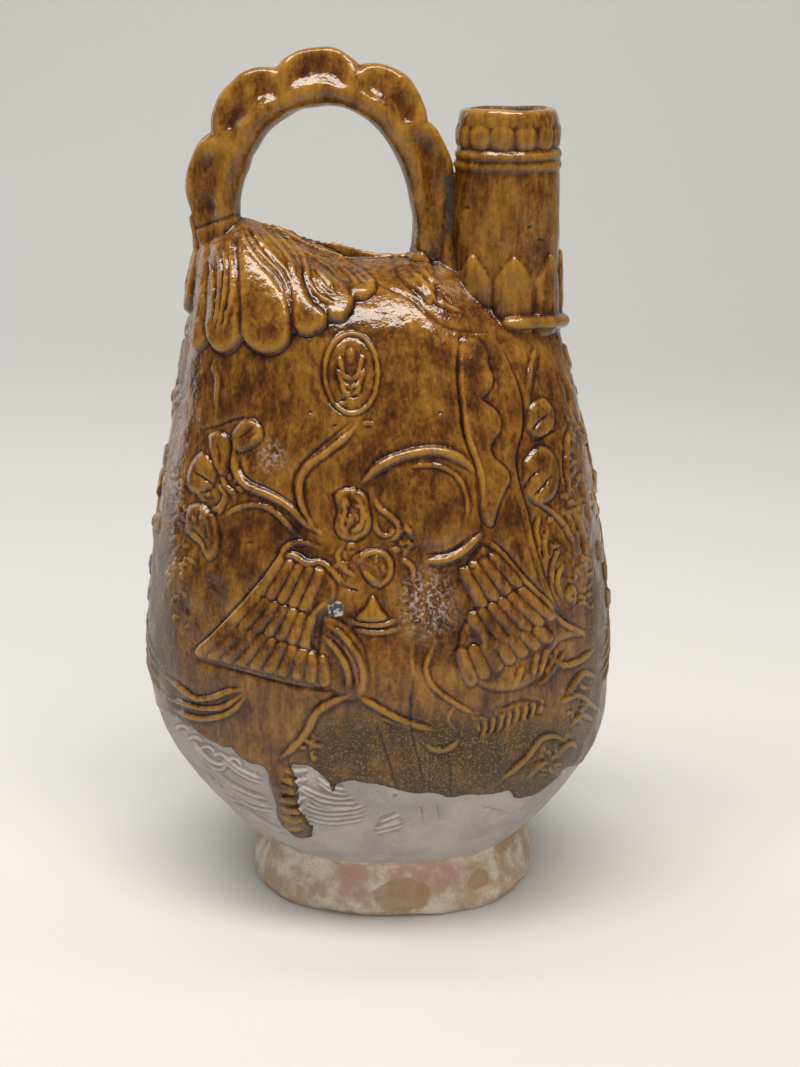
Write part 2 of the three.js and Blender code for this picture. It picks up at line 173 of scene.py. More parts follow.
# Ends of the loop as outer x, outer z, inner x, inner z
LEFT_LEG = [[-57, 218, -43, 218], [-58.5, 226, -44.5, 226], [-60.5, 236, -47, 236]]
RIGHT_LEG = [[23, 243, 12.6, 244], [24.6, 236, 12.4, 236], [27, 224, 9, 222]]
# Half thickness of the loop's section from its inner edge, at 0, to its pinched outer edge, at 1
SECTION_ROWS = [
    [0, 0], [0.04, 0.42], [0.13, 0.78], [0.24, 0.96], [0.35, 1.0], [0.45, 0.86], [0.6, 0.68], [0.8, 0.58],
    [0.92, 0.46], [0.98, 0.28], [1, 0],
]
HANDLE_DEPTH = {"left": 7.8, "right": 6.4}
THUMB_DISH = 0.3

# Radius at which the wall is unrolled for the glaze's edge, how far from the edge the glaze is measured,
# and the height above which none of the edge runs
UNROLL_RADIUS = 70
REACH_LIMIT = 30.0
EDGE_TOP = 95

# The glaze coat: how soon it reaches its thickness, and the roll along its edge
COAT_SLOPE = 0.7
ROLL = {"height": 0.5, "inset": 1.3, "width": 1.1}
# Height and length of the ripples down the long run
RIPPLE = {"height": 0.16, "length": 5.2}

# Hollows as the finish sees them: the open wall's value, and what a millimetre of depth adds
OPEN_WALL = 0.45
FINE_HOLLOW, FINE_CREST, BROAD_HOLLOW = 2.3, 1.5, 0.32

# The inside: its share of the body's form, the heights it lies between, the bore's radius and foot,
# and the height up to which no glaze ran down the bore
INNER_SHARE = 0.965
INNER_LOW, INNER_HIGH = 12, 222
BORE_REACH, BORE_FOOT, BORE_BARE = 13.6, 196, 262

# The backdrop: half its width, its front end, where it starts to curve up, the curve's radius, its height
BACKDROP = {"half_width": 3200, "front": -2600, "start": 900, "radius": 900, "top": 3200}

# How far the rear of the saddle has sunk under the handle
SADDLE_SAG = 3.2

# Share of a stroke's height that shows once slip and glaze have filled round it
RELIEF = 0.62

# The eye point that the carving's drawing is taken from: its figures are drawn in the flask's middle
# plane and carried along the lines of sight onto the wall
EYE = np.array([8.0, -550.0, 310.0])
CAMERA_PITCH = 72
FOCAL_PIXELS, PHOTO_HEIGHT, SENSOR = 1600, 1067, 36
GRID = 0.25
DRAWING_LOW, DRAWING_HIGH = (-96, -34), (96, 306)


def linear(code):
    """A colour written as sRGB hex, as the linear colour that Blender works in."""
    parts = [int(code[i : i + 2], 16) / 255 for i in (1, 3, 5)]
    return [c / 12.92 if c <= 0.04045 else ((c + 0.055) / 1.055) ** 2.4 for c in parts] + [1.0]


def length(name, description, default):
    return FloatProperty(name=name, description=description, default=default * MM, unit="LENGTH", precision=5)


def colour(name, description, code):
    return FloatVectorProperty(
        name=name, description=description, default=linear(code), subtype="COLOR", size=4, min=0, max=1
    )


class FlaskSizes(bpy.types.PropertyGroup):
    """Sizes that a user would change"""

    grain: length("Mesh grain", "Size of the cells that join the clay", 0.6)
    triangles: IntProperty(name="Triangles", description="Most triangles left on the flask", default=186000)
    lappets: IntProperty(name="Lappets", description="Beads round the rim", default=13, min=3)
    leaves: IntProperty(name="Leaves", description="Pointed leaves round the spout", default=8, min=3)
    carving: FloatProperty(name="Carving", description="Strength of the relief", default=1.0, min=0, max=2)
    glaze: length("Glaze", "Thickness of the glaze coat", 0.45)
    drip: length("Drip", "Extra thickness of the glaze where it ran down", 1.3)
    waver: length("Waver", "Unevenness of the hand-worked wall", 0.35)


class FlaskColours(bpy.types.PropertyGroup):
    """Colours that a user would change"""

    thin: colour("Thin glaze", "Glaze on crests, where it ran thin", "#956a25")
    amber: colour("Amber glaze", "Glaze at its usual thickness", "#663e10")
    deep: colour("Deep glaze", "Glaze in shallow hollows", "#42220a")
    pooled: colour("Pooled glaze", "Glaze that pooled in grooves", "#1f0c06")
    olive: colour("Underfired glaze", "Dull mottled glaze low on the wall", "#3c2a10")
    slip: colour("Slip", "White slip on the bare lower wall", "#aaa29c")
    clay: colour("Clay", "Bare buff clay of the foot", "#ad947a")
    stain: colour("Stain", "Brown patches on the foot", "#967353")
    blush: colour("Blush", "Pink stains on the foot", "#ab8273")
    floor: colour("Floor", "Pale floor and backdrop", "#cfcecb")


# Numbers and curves


def along(rows, at, column=1):
    """Values on a smooth monotone curve through rows, each a position followed by values."""
    rows = np.asarray(rows, float)
    places, values = rows[:, 0], rows[:, column]
    slopes = np.diff(values) / np.diff(places)
    tangents = np.empty_like(values)
    tangents[0], tangents[-1] = slopes[0], slopes[-1]
    product, total = slopes[:-1] * slopes[1:], slopes[:-1] + slopes[1:]
    tangents[1:-1] = np.where(product > 0, 2 * product / np.where(product > 0, total, 1), 0)
    here = np.clip(at, places[0], places[-1])
    i = np.clip(np.searchsorted(places, here) - 1, 0, len(places) - 2)
    span = places[i + 1] - places[i]
    t = (here - places[i]) / span
    rise = (values[i + 1] - values[i]) * t * t * (3 - 2 * t)
    return values[i] + rise + span * t * (1 - t) * (tangents[i] * (1 - t) - tangents[i + 1] * t)


def smooth(value, low, high):
    t = np.clip((value - low) / (high - low), 0, 1)
    return t * t * (3 - 2 * t)


def mix(a, b, share):
    return a + (b - a) * share


def curve(points, step=0.8):
    """Places at about every step along a smooth curve through points."""
    points = np.asarray(points, float)
    if len(points) < 3:
        count = max(2, int(np.linalg.norm(points[1] - points[0]) / step) + 1)
        return mix(points[0], points[1], np.linspace(0, 1, count)[:, None])
    ends = np.vstack([2 * points[0] - points[1], points, 2 * points[-1] - points[-2]])
    places = []
    for a, b, c, d in zip(ends, ends[1:], ends[2:], ends[3:]):
        count = max(2, int(np.linalg.norm(c - b) / step) + 1)
        t = np.linspace(0, 1, count, endpoint=False)[:, None]
        bend = 2 * b + (c - a) * t + (2 * a - 5 * b + 4 * c - d) * t**2 + (3 * b - a - 3 * c + d) * t**3
        places.append(bend / 2)
    return np.vstack(places + [points[-1:]])


def oval(x, z, half_x, half_z, start=0, end=360, count=12):
    """Points round part of an oval, from its middle, half sizes and the degrees it runs through."""
    turn = np.radians(np.linspace(start, end, count + 1))
    return np.stack([x + half_x * np.cos(turn), z + half_z * np.sin(turn)], 1)


def wander(points, wavelength, seed):
    """Smooth uneven numbers from about -1 to 1 over places in space, from a few slanting waves."""
    chance = np.random.default_rng(seed)
    total = np.zeros(len(points))
    for _ in range(9):
        way = chance.normal(size=3)
        way *= chance.uniform(0.7, 1.5) * 2 * math.pi / wavelength / np.linalg.norm(way)
        total += np.sin(points @ way + chance.uniform(0, 2 * math.pi))
    return total / 3


# The flask's own form


def saddle_lift(x, height):
    return smooth(height, SADDLE_START, RIDGE_LEVEL) * (along(RIDGE_ROWS, x) - RIDGE_LEVEL)


def oval_ring(rows, height, columns, centre, widths=None):
    """Points round one rounded oval section."""
    turn = np.linspace(0, 2 * math.pi, columns, endpoint=False)
    half_x, half_y = widths if widths is not None else (along(rows, height, 1), along(rows, height, 2))
    round_off = 2 / OVAL_POWER
    x = centre + half_x * np.sign(np.cos(turn)) * np.abs(np.cos(turn)) ** round_off
    y = half_y * np.sign(np.sin(turn)) * np.abs(np.sin(turn)) ** round_off
    return np.stack([x, y, np.full(columns, float(height))], 1)


def wall_rings(rows, heights, columns):
    """Sections of the body or its hollow, lifted to the saddle."""
    rings = []
    for height in heights:
        ring = oval_ring(rows, height, columns, along(LEAN_ROWS, height))
        ring[:, 2] += saddle_lift(ring[:, 0], height)
        rings.append(ring)
    return rings


def shell(points):
    """1 on the body's wall, less inside it and more outside."""
    height = points[:, 2]
    for _ in range(8):
        height = points[:, 2] - saddle_lift(points[:, 0], height)
    x = np.abs(points[:, 0] - along(LEAN_ROWS, height)) / along(BODY_ROWS, height, 1)
    y = np.abs(points[:, 1]) / np.maximum(along(BODY_ROWS, height, 2), 0.5)
    return (x**OVAL_POWER + y**OVAL_POWER) ** (1 / OVAL_POWER)


def seen(drawn):
    """Where the lines of sight through drawn points meet the front wall."""
    drawn = np.asarray(drawn, float)
    target = np.stack([drawn[:, 0], np.zeros(len(drawn)), drawn[:, 1]], 1)
    near, far = np.full(len(drawn), 0.8), np.ones(len(drawn))
    for _ in range(28):
        half = (near + far) / 2
        outside = shell(EYE + (target - EYE) * half[:, None]) > 1
        near, far = np.where(outside, half, near), np.where(outside, far, half)
    return EYE + (target - EYE) * far[:, None]


def turned(points, view):
    """Points or directions turned so that a view's side of the flask faces the front."""
    x, y, z = points[:, 0], points[:, 1], points[:, 2]
    sides = {"front": (x, y, z), "back": (x, -y, z), "left": (-y, x, z), "right": (y, -x, z)}
    return np.stack(sides[view], 1)


def drawn_from(points, view="front"):
    """Where points in space lie in the drawing of one side."""
    x, y, z = turned(points, view).T
    stretch = -EYE[1] / (y - EYE[1])
    return np.stack([EYE[0] + (x - EYE[0]) * stretch, EYE[2] + (z - EYE[2]) * stretch], 1)


def unrolled(points):
    """Places round and up the wall, in millimetres, with the middle of the front at 0."""
    turn = np.arctan2(points[:, 0] - along(LEAN_ROWS, points[:, 2]), -points[:, 1])
    return np.stack([turn * UNROLL_RADIUS, points[:, 2]], 1)


# Meshes


def new_object(name, points, faces):
    """An object from points in millimetres, with its faces turned outward."""
    mesh = bpy.data.meshes.new(name)
    mesh.from_pydata((np.asarray(points) * MM).tolist(), [], [list(face) for face in faces])
    work = bmesh.new()
    work.from_mesh(mesh)
    bmesh.ops.recalc_face_normals(work, faces=work.faces)
    work.to_mesh(mesh)
    work.free()
    made = bpy.data.objects.new(name, mesh)
    bpy.context.scene.collection.objects.link(made)
    return made


def loft(name, rings):
    """A closed skin through rings of points, drawn together to a point at both ends."""
    rings = np.asarray(rings, float)
    count, columns = rings.shape[:2]
    points = np.vstack([rings[0].mean(0), rings.reshape(-1, 3), rings[-1].mean(0)])
    i = np.arange(columns)
    j = (i + 1) % columns
    faces = [(0, 1 + b, 1 + a) for a, b in zip(i, j)]
    for row in range(count - 1):
        low = 1 + row * columns
        faces += [(low + a, low + b, low + columns + b, low + columns + a) for a, b in zip(i, j)]
    low = 1 + (count - 1) * columns
    faces += [(len(points) - 1, low + a, low + b) for a, b in zip(i, j)]
    return new_object(name, points, faces)


def plain_mesh(made, name):
    """The evaluated object as a plain mesh object that takes its place."""
    graph = bpy.context.evaluated_depsgraph_get()
    mesh = bpy.data.meshes.new_from_object(made.evaluated_get(graph))
    remove(made)
    mesh.name = name
    fresh = bpy.data.objects.new(name, mesh)
    bpy.context.scene.collection.objects.link(fresh)
    return fresh


def remove(made):
    bpy.data.objects.remove(made, do_unlink=True)


def places_of(mesh):
    places = np.empty(len(mesh.vertices) * 3)
    mesh.vertices.foreach_get("co", places)
    return places.reshape(-1, 3) / MM


def normals_of(mesh):
    normals = np.empty(len(mesh.vertices) * 3)
    mesh.vertex_normals.foreach_get("vector", normals)
    return normals.reshape(-1, 3)


def move_to(mesh, places):
    mesh.vertices.foreach_set("co", (places * MM).ravel())
    mesh.update()


def neighbours_of(mesh):
    edges = np.empty(len(mesh.edges) * 2, dtype=np.int32)
    mesh.edges.foreach_get("vertices", edges)
    return edges.reshape(-1, 2)


def evened(places, edges, rounds, share=0.5):
    """Places drawn towards the middle of their neighbours."""
    count = len(places)
    start, end = np.concatenate([edges[:, 0], edges[:, 1]]), np.concatenate([edges[:, 1], edges[:, 0]])
    many = np.maximum(np.bincount(start, minlength=count), 1)[:, None]
    for _ in range(rounds):
        sums = np.stack([np.bincount(start, places[end, k], count) for k in range(places.shape[1])], 1)
        places = mix(places, sums / many, share)
    return places


def store(mesh, name, values):
    layer = mesh.attributes.get(name) or mesh.attributes.new(name, "FLOAT", "POINT")
    layer.data.foreach_set("value", np.asarray(values, np.float32))


def read(mesh, name):
    values = np.empty(len(mesh.vertices), np.float32)
    mesh.attributes[name].data.foreach_get("value", values)
    return values


# Nodes


def add(tree, kind, links=None, **settings):
    """Adds a node, sets its properties, and sets or links its inputs.

    A node given as an input's value stands for its first result.
    """
    made = tree.nodes.new(kind)
    for key, value in settings.items():
        setattr(made, key, value)
    for key, value in (links or {}).items():
        named = [socket for socket in made.inputs if socket.enabled and socket.name == key]
        socket = named[0] if named else made.inputs[key]
        if isinstance(value, bpy.types.Node):
            value = next(result for result in value.outputs if result.enabled)
        if isinstance(value, bpy.types.NodeSocket):
            tree.links.new(value, socket)
        else:
            socket.default_value = value
    return made


def new_tree(name, inputs):
    """A Geometry Nodes tree with named inputs, each a name, a socket type and a value."""
    tree = bpy.data.node_groups.new(name, "GeometryNodeTree")
    tree.interface.new_socket("Geometry", in_out="INPUT", socket_type="NodeSocketGeometry")
    for label, kind, value in inputs:
        socket = tree.interface.new_socket(label, in_out="INPUT", socket_type=kind)
        if value is not None:
            socket.default_value = value
    tree.interface.new_socket("Geometry", in_out="OUTPUT", socket_type="NodeSocketGeometry")
    return tree, tree.nodes.new("NodeGroupInput")


def close_tree(tree, geometry):
    """Ends a tree in real meshes with the clay's material."""
    real = add(tree, "GeometryNodeRealizeInstances", {"Geometry": geometry})
    clay = add(tree, "GeometryNodeSetMaterial", {"Geometry": real, "Material": raw_clay()})
    add(tree, "NodeGroupOutput", {"Geometry": clay})


def run_tree(name, tree, values):
    """Runs a tree on an empty mesh, with its inputs set by their identifiers, and keeps the result."""
    made = new_object(name, np.zeros((0, 3)), [])
    modifier = made.modifiers.new(name, "NODES")
    modifier.node_group = tree
    for item in tree.interface.items_tree:
        if item.in_out == "INPUT" and item.name in values:
            modifier[item.identifier] = values[item.name]
    return plain_mesh(made, name)


def raw_clay():
    """Unfired clay, which only the parts wear before they are joined."""
    name = "raw_clay"
    return bpy.data.materials.get(name) or bpy.data.materials.new(name)


def ring_tree():
    """Copies of one piece round an upright axis, each turned to face outward."""
    tree, inputs = new_tree(
        "ring_of_pieces",
        [
            ("Piece", "NodeSocketObject", None),
            ("Count", "NodeSocketInt", 8),
            ("Radius", "NodeSocketFloat", 17.3 * MM),
            ("Axis", "NodeSocketVector", (0, 0, 0)),
            ("Turn", "NodeSocketFloat", 0.0),
        ],
    )
    given = inputs.outputs
    ring = add(tree, "GeometryNodeMeshCircle", {"Vertices": given["Count"], "Radius": given["Radius"]})
    outward = add(tree, "GeometryNodeInputPosition")
    facing = add(tree, "FunctionNodeAlignRotationToVector", {"Vector": outward}, axis="X")
    piece = add(tree, "GeometryNodeObjectInfo", {"Object": given["Piece"]}).outputs["Geometry"]
    spread = {"Points": ring, "Instance": piece, "Rotation": facing}
    copies = add(tree, "GeometryNodeInstanceOnPoints", spread)
    turn = add(tree, "ShaderNodeCombineXYZ", {"Z": given["Turn"]})
    there = {"Geometry": copies, "Translation": given["Axis"], "Rotation": turn}
    close_tree(tree, add(tree, "GeometryNodeTransform", there))
    return tree


def turned_tree(profile, widest):
    """A form turned on an upright axis, its radius read from a curve over its height."""
    tree, inputs = new_tree(
        "turned_form",
        [
            ("Axis", "NodeSocketFloat", SPOUT_X * MM),
            ("Foot", "NodeSocketFloat", profile[0][0] * MM),
            ("Height", "NodeSocketFloat", (profile[-1][0] - profile[0][0]) * MM),
            ("Widest", "NodeSocketFloat", widest * MM),
            ("Sides", "NodeSocketInt", SPOUT_SIDES),
            ("Rows", "NodeSocketInt", SPOUT_ROWS),
        ],
    )
    given = inputs.outputs
    spans = {"Size X": 1.0, "Size Y": 1.0, "Vertices X": given["Sides"], "Vertices Y": given["Rows"]}
    sheet = add(tree, "GeometryNodeMeshGrid", spans)
    flat = add(tree, "ShaderNodeSeparateXYZ", {"Vector": add(tree, "GeometryNodeInputPosition")}).outputs
    angle = add(tree, "ShaderNodeMath", {0: flat["X"], 1: 2 * math.pi}, operation="MULTIPLY")
    share = add(tree, "ShaderNodeMath", {0: flat["Y"], 1: 0.5}, operation="ADD")
    shape = add(tree, "ShaderNodeFloatCurve", {"Value": share})
    points = shape.mapping.curves[0].points
    low, high = profile[0][0], profile[-1][0]
    for i, (height, radius) in enumerate(profile):
        # The two rows of a flat end share a height, so each is set a hair apart to keep their order
        nudge = (i + 1) * 1e-4 if i < 2 else (i - len(profile)) * 1e-4 if i > len(profile) - 3 else 0
        place = ((height - low) / (high - low) + nudge, radius / widest)
        point = points[i] if i < 2 else points.new(*place)
        point.location = place
        point.handle_type = "VECTOR"
    shape.mapping.update()
    radius = add(tree, "ShaderNodeMath", {0: shape, 1: given["Widest"]}, operation="MULTIPLY")
    cosine = add(tree, "ShaderNodeMath", {0: angle}, operation="COSINE")
    sine = add(tree, "ShaderNodeMath", {0: angle}, operation="SINE")
    across = add(tree, "ShaderNodeMath", {0: radius, 1: cosine, 2: given["Axis"]}, operation="MULTIPLY_ADD")
    deep = add(tree, "ShaderNodeMath", {0: radius, 1: sine}, operation="MULTIPLY")
    rise = {0: share, 1: given["Height"], 2: given["Foot"]}
    height = add(tree, "ShaderNodeMath", rise, operation="MULTIPLY_ADD")
    place = add(tree, "ShaderNodeCombineXYZ", {"X": across, "Y": deep, "Z": height})
    turned_sheet = add(tree, "GeometryNodeSetPosition", {"Geometry": sheet, "Position": place})
    closed = add(tree, "GeometryNodeMergeByDistance", {"Geometry": turned_sheet, "Distance": WELD * MM})
    close_tree(tree, closed)
    return tree


# Parts of raw clay


def body_part():
    heights = np.concatenate([np.linspace(19, 216, 110), np.linspace(217, 229, 25), [229.6, 230, 230.3]])
    return loft("clay_body", wall_rings(BODY_ROWS, heights, 160))


def foot_part():
    rings = [oval_ring(None, height, 160, FOOT_CENTRE, (wide, deep)) for height, wide, deep in FOOT_ROWS]
    return loft("clay_foot", rings)


def bump_share(degrees):
    """How far up a bump of the pinched edge an angle lies, and that bump's rise."""
    best = (0.0, 0.0)
    for i, crest in enumerate(BUMP_ANGLES):
        side = VALLEY_ANGLES[i] if degrees > crest else VALLEY_ANGLES[i + 1]
        off = min(abs((degrees - crest) / (side - crest)), 1)
        share = math.cos(off * math.pi / 2) ** 0.8
        if share > best[0]:
            best = (share, BUMP_RISE[i])
    return best


def handle_stations():
    """Outer and inner edge of the loop at each step, and how far up a bump it is."""
    stations = [(*edge, 0.0) for edge in curve(LEFT_LEG, 1.5)]
    for degrees in np.linspace(ARCH["start"], ARCH["end"], ARCH["steps"] + 1):
        share, rise = bump_share(degrees)
        outer = VALLEY_RADIUS + rise * share
        inner = along(INNER_RADIUS, degrees)
        c, s = math.cos(math.radians(degrees)), math.sin(math.radians(degrees))
        outer_place = (LOOP_X + outer * c, LOOP_Z + outer * s)
        inner_place = (LOOP_X + inner * c, LOOP_Z + inner * s)
        stations.append((*outer_place, *inner_place, share))
    return stations + [(*edge, 0.0) for edge in curve(RIGHT_LEG, 1.5)]


def handle_part():
    """The loop: a round inner rod whose outer side is pinched into thumb dishes between thick ribs."""
    stations = handle_stations()
    turn = np.linspace(0, 2 * math.pi, 56, endpoint=False)
    out = (1 + np.cos(turn)) / 2
    side = np.sign(np.sin(turn))
    rings = []
    for i, (outer_x, outer_z, inner_x, inner_z, share) in enumerate(stations):
        depth = mix(HANDLE_DEPTH["left"], HANDLE_DEPTH["right"], i / (len(stations) - 1))
        dish = THUMB_DISH * smooth(share, 0.2, 0.85) * smooth(out, 0.3, 0.62)
        dish = dish * (1 - 0.7 * smooth(out, 0.86, 1))
        rib = 0.16 * (1 - smooth(share, 0.1, 0.6)) * smooth(out, 0.34, 0.6) * (1 - smooth(out, 0.85, 1))
        y = depth * side * along(SECTION_ROWS, out) * (1 - dish + rib)
        rings.append(np.stack([mix(inner_x, outer_x, out), y, mix(inner_z, outer_z, out)], 1))
    return loft("clay_handle", rings)


def web_part():
    """Clay pressed into the gap between the handle's right leg and the spout, set back from both."""
    levels = ((222, 9, 5), (236, 5, 3.2), (246, 2.6, 2.6), (258, 1.8, 2.2))
    rings = [oval_ring(None, height, 24, 25, (wide, deep)) for height, deep, wide in levels]
    return loft("clay_web", rings)


def lappet_part():
    """One upright bead, rounder at its lower end."""
    turn = np.linspace(0, 2 * math.pi, 20, endpoint=False)
    rings = []
    for part in np.linspace(-1, 1, 13)[1:-1]:
        wide = LAPPET["half_width"] * (1 - abs(part) ** (2.6 if part < 0 else 4)) ** 0.5
        thick = LAPPET["rise"] * (1 - abs(part) ** 4) ** 0.5
        y = wide * np.sign(np.cos(turn)) * np.abs(np.cos(turn)) ** 0.75
        rings.append(np.stack([thick * np.sin(turn), y, np.full(len(turn), part * LAPPET["half_height"])], 1))
    return loft("clay_lappet", rings)


def leaf_part(leaves):
    """One pointed leaf with a raised spine, bent round the spout and meeting its neighbours."""
    tall, shoulder = LEAF["tip"] - LEAF["base"], LEAF["valley"] - LEAF["base"]
    across = np.linspace(-1, 1, 17)
    rings = []
    for height in np.concatenate([np.linspace(0, shoulder, 16), np.linspace(shoulder, tall - 0.1, 12)[1:]]):
        narrow = min(1, (tall - height) / (tall - shoulder)) ** 0.85
        turn = across * math.pi / leaves * 0.985 * narrow
        bulge = 1 - np.abs(across) ** 2.6
        swell = mix(0.85, 1, math.sin(math.pi * min(1, height / tall + 0.15)))
        spine = LEAF["spine"] * np.exp(-((across / 0.16) ** 2))
        out = LEAF["radius"] + swell * (LEAF["rise"] * (0.66 + 0.34 * bulge) + spine)
        out = out - 1.1 * smooth(np.abs(across), 0.8, 1)
        level = np.full(len(across), height)
        front = np.stack([out * np.cos(turn) - LEAF["radius"], out * np.sin(turn), level], 1)
        inner = LEAF["radius"] - LEAF_THICKNESS
        back = np.stack([inner * np.cos(turn) - LEAF["radius"], inner * np.sin(turn), level], 1)
        rings.append(np.vstack([front, back[::-1]]))
    return loft("clay_leaf", rings)


def flange_part():
    """A thin flange round the collar's foot, higher at the front, where it runs out into the wall."""
    rings = []
    middle, half = (FLANGE["low"] + FLANGE["high"]) / 2, (FLANGE["high"] - FLANGE["low"]) / 2
    for degrees in np.linspace(FLANGE["start"], FLANGE["end"], 90):
        turn = math.radians(degrees)
        end = min(degrees - FLANGE["start"], FLANGE["end"] - degrees) / 9
        out = FLANGE["radius"] - 4 * (1 - min(1, end)) ** 2
        thin = mix(0.45, 1, min(1, end * 0.6))
        edge = np.radians(np.linspace(-90, 90, 13))
        radii = np.concatenate([[14], out - 2 + 2 * np.cos(edge), [14]])
        heights = np.concatenate([[-half], half * np.sin(edge), [half + 0.6]]) * thin
        z = middle - FLANGE["tilt"] * math.sin(turn) + heights
        rings.append(np.stack([SPOUT_X + radii * math.cos(turn), radii * math.sin(turn), z], 1))
    return loft("clay_flange", rings)


# The carving's drawing


class Drawing:
    """Heights over the middle plane, built up by strokes."""

    def __init__(self):
        self.low = np.array(DRAWING_LOW, float)
        self.size = ((np.array(DRAWING_HIGH) - self.low) / GRID).astype(int)
        self.pads = np.zeros(self.size)
        self.ridges = np.zeros(self.size)
        self.grooves = np.zeros(self.size)
        self.furrows = np.zeros(self.size)

    def window(self, points, margin):
        """The part of the grid near points, and the places of its cells."""
        start = np.maximum(((points.min(0) - margin - self.low) / GRID).astype(int), 0)
        end = np.minimum(((points.max(0) + margin - self.low) / GRID).astype(int) + 1, self.size)
        x = self.low[0] + GRID * (np.arange(start[0], end[0]) + 0.5)
        z = self.low[1] + GRID * (np.arange(start[1], end[1]) + 0.5)
        return (slice(start[0], end[0]), slice(start[1], end[1])), *np.meshgrid(x, z, indexing="ij")

    def stroke(self, layer, points, half_width, height, taper=0.35, power=2.0, joined=False):
        """A rounded stroke along a curve, thinner at its ends by the taper."""
        path = curve(points, 1.2)
        part, x, z = self.window(path, half_width + GRID)
        near, share = distance(path, x, z)
        full = 1.0 if joined else mix(taper, 1, np.clip(np.minimum(share, 1 - share) * 6, 0, 1))
        across = np.clip(near / (half_width * full), 0, 1)
        raised = height * full * (1 - across**power)
        layer[part] = np.maximum(layer[part], raised)

    def ridge(self, points, half_width=1.2, height=1.0, **options):
        """A raised line in low relief, with the dark furrow that glaze keeps at each side of it."""
        self.stroke(self.ridges, points, half_width * 0.85, height * RELIEF, **options)
        self.stroke(self.furrows, points, half_width * 1.9 + 0.4, min(0.34, 0.3 * height), **options)

    def groove(self, points, half_width=0.8, depth=0.8, **options):
        self.stroke(self.grooves, points, half_width, depth, **options)

    def pad(self, outline, height, edge=1.2, lean=None, furrow=0.28):
        """A low cushion inside an outline that rounds down to it over the edge's width."""
        path = curve(np.vstack([outline, outline[:1]]), 1.2)
        part, x, z = self.window(path, GRID)
        near, _ = distance(path, x, z)
        rounded = np.sqrt(1 - (1 - np.clip(near / edge, 0, 1)) ** 2)
        if lean is not None:
            start, end = np.array(lean[0]), np.array(lean[1])
            way = (end - start) / np.dot(end - start, end - start)
            rounded *= mix(lean[2], 1, np.clip((x - start[0]) * way[0] + (z - start[1]) * way[1], 0, 1))
        self.pads[part] = np.maximum(self.pads[part], height * rounded * inside(path, x, z))
        if furrow:
            self.stroke(self.furrows, np.vstack([outline, outline[:1]]), 1.0, furrow, joined=True)

    def bars(self, count, root_a, root_b, tip_a, tip_b, height=0.85, fill=0.96):
        """A row of flat feathers between the line of their roots and the line of their tips."""
        root_a, root_b, tip_a, tip_b = (np.array(p, float) for p in (root_a, root_b, tip_a, tip_b))
        pitch = (np.linalg.norm(root_b - root_a) + np.linalg.norm(tip_b - tip_a)) / 2 / (count - 1)
        for i in range(count):
            share = i / (count - 1)
            root, tip = mix(root_a, root_b, share), mix(tip_a, tip_b, share)
            half = fill * pitch / 2
            way = (tip - root) / np.linalg.norm(tip - root)
            ends = [root + way * half * 0.3, tip - way * half * 0.4]
            self.stroke(self.ridges, ends, half, height, taper=0.9, power=5.0)
            self.stroke(self.furrows, [root, tip], half * 1.25, 0.25, taper=1)
            for side in (-0.5, 0.5):
                off = np.array([-way[1], way[0]]) * half * side
                self.stroke(self.grooves, [ends[0] + off, ends[1] + off], 0.45, 0.16, taper=0.5)

    def tangle(self, x, z, half_x, half_z, count, seed, height=0.7):
        """Small curled strokes that fill an oval, for relief too worn to read."""
        chance = np.random.default_rng(seed)
        for _ in range(count):
            turn, reach = chance.uniform(0, 2 * math.pi), chance.uniform(0, 1) ** 0.5
            start = np.array([x + half_x * reach * math.cos(turn), z + half_z * reach * math.sin(turn)])
            way, bend = chance.uniform(0, 2 * math.pi), chance.uniform(-1.1, 1.1)
            steps = [start]
            for _ in range(3):
                steps.append(steps[-1] + chance.uniform(0.7, 1.3) * np.array([math.cos(way), math.sin(way)]))
                way += bend
            self.ridge(steps, chance.uniform(0.5, 0.9), chance.uniform(0.5, 1.3) * height)

    def heights(self):
        raised = blurred(self.pads, 0.35) + blurred(self.ridges, 0.28)
        open_wall = 1 - np.clip(self.ridges / 0.3, 0, 1)
        sunk = blurred(self.furrows, 0.3) * open_wall + blurred(self.grooves, 0.25)
        return raised - sunk


def distance(path, x, z):
    """How far cells are from a path, and how far along it their nearest point lies."""
    near = np.full(x.shape, 1e9)
    share = np.zeros(x.shape)
    steps = np.linalg.norm(np.diff(path, axis=0), axis=1)
    reach = np.concatenate([[0], np.cumsum(steps)])
    for i, step in enumerate(steps):
        if step < 1e-9:
            continue
        way = (path[i + 1] - path[i]) / step
        t = np.clip((x - path[i, 0]) * way[0] + (z - path[i, 1]) * way[1], 0, step)
        far = np.hypot(x - path[i, 0] - t * way[0], z - path[i, 1] - t * way[1])
        closer = far < near
        near = np.where(closer, far, near)
        share = np.where(closer, (reach[i] + t) / reach[-1], share)
    return near, share


def inside(path, x, z):
    """Whether cells lie inside a closed path."""
    odd = np.zeros(x.shape, bool)
    for (ax, az), (bx, bz) in zip(path, np.roll(path, -1, axis=0)):
        if az != bz:
            odd ^= ((az > z) != (bz > z)) & (x < (bx - ax) * (z - az) / (bz - az) + ax)
    return odd


def blurred(field, spread):
    """A grid softened by a bell of that many millimetres."""
    fx = np.fft.fftfreq(field.shape[0], GRID)[:, None]
    fz = np.fft.rfftfreq(field.shape[1], GRID)[None, :]
    bell = np.exp(-2 * (math.pi * spread) ** 2 * (fx**2 + fz**2))
    return np.fft.irfft2(np.fft.rfft2(field) * bell, s=field.shape)


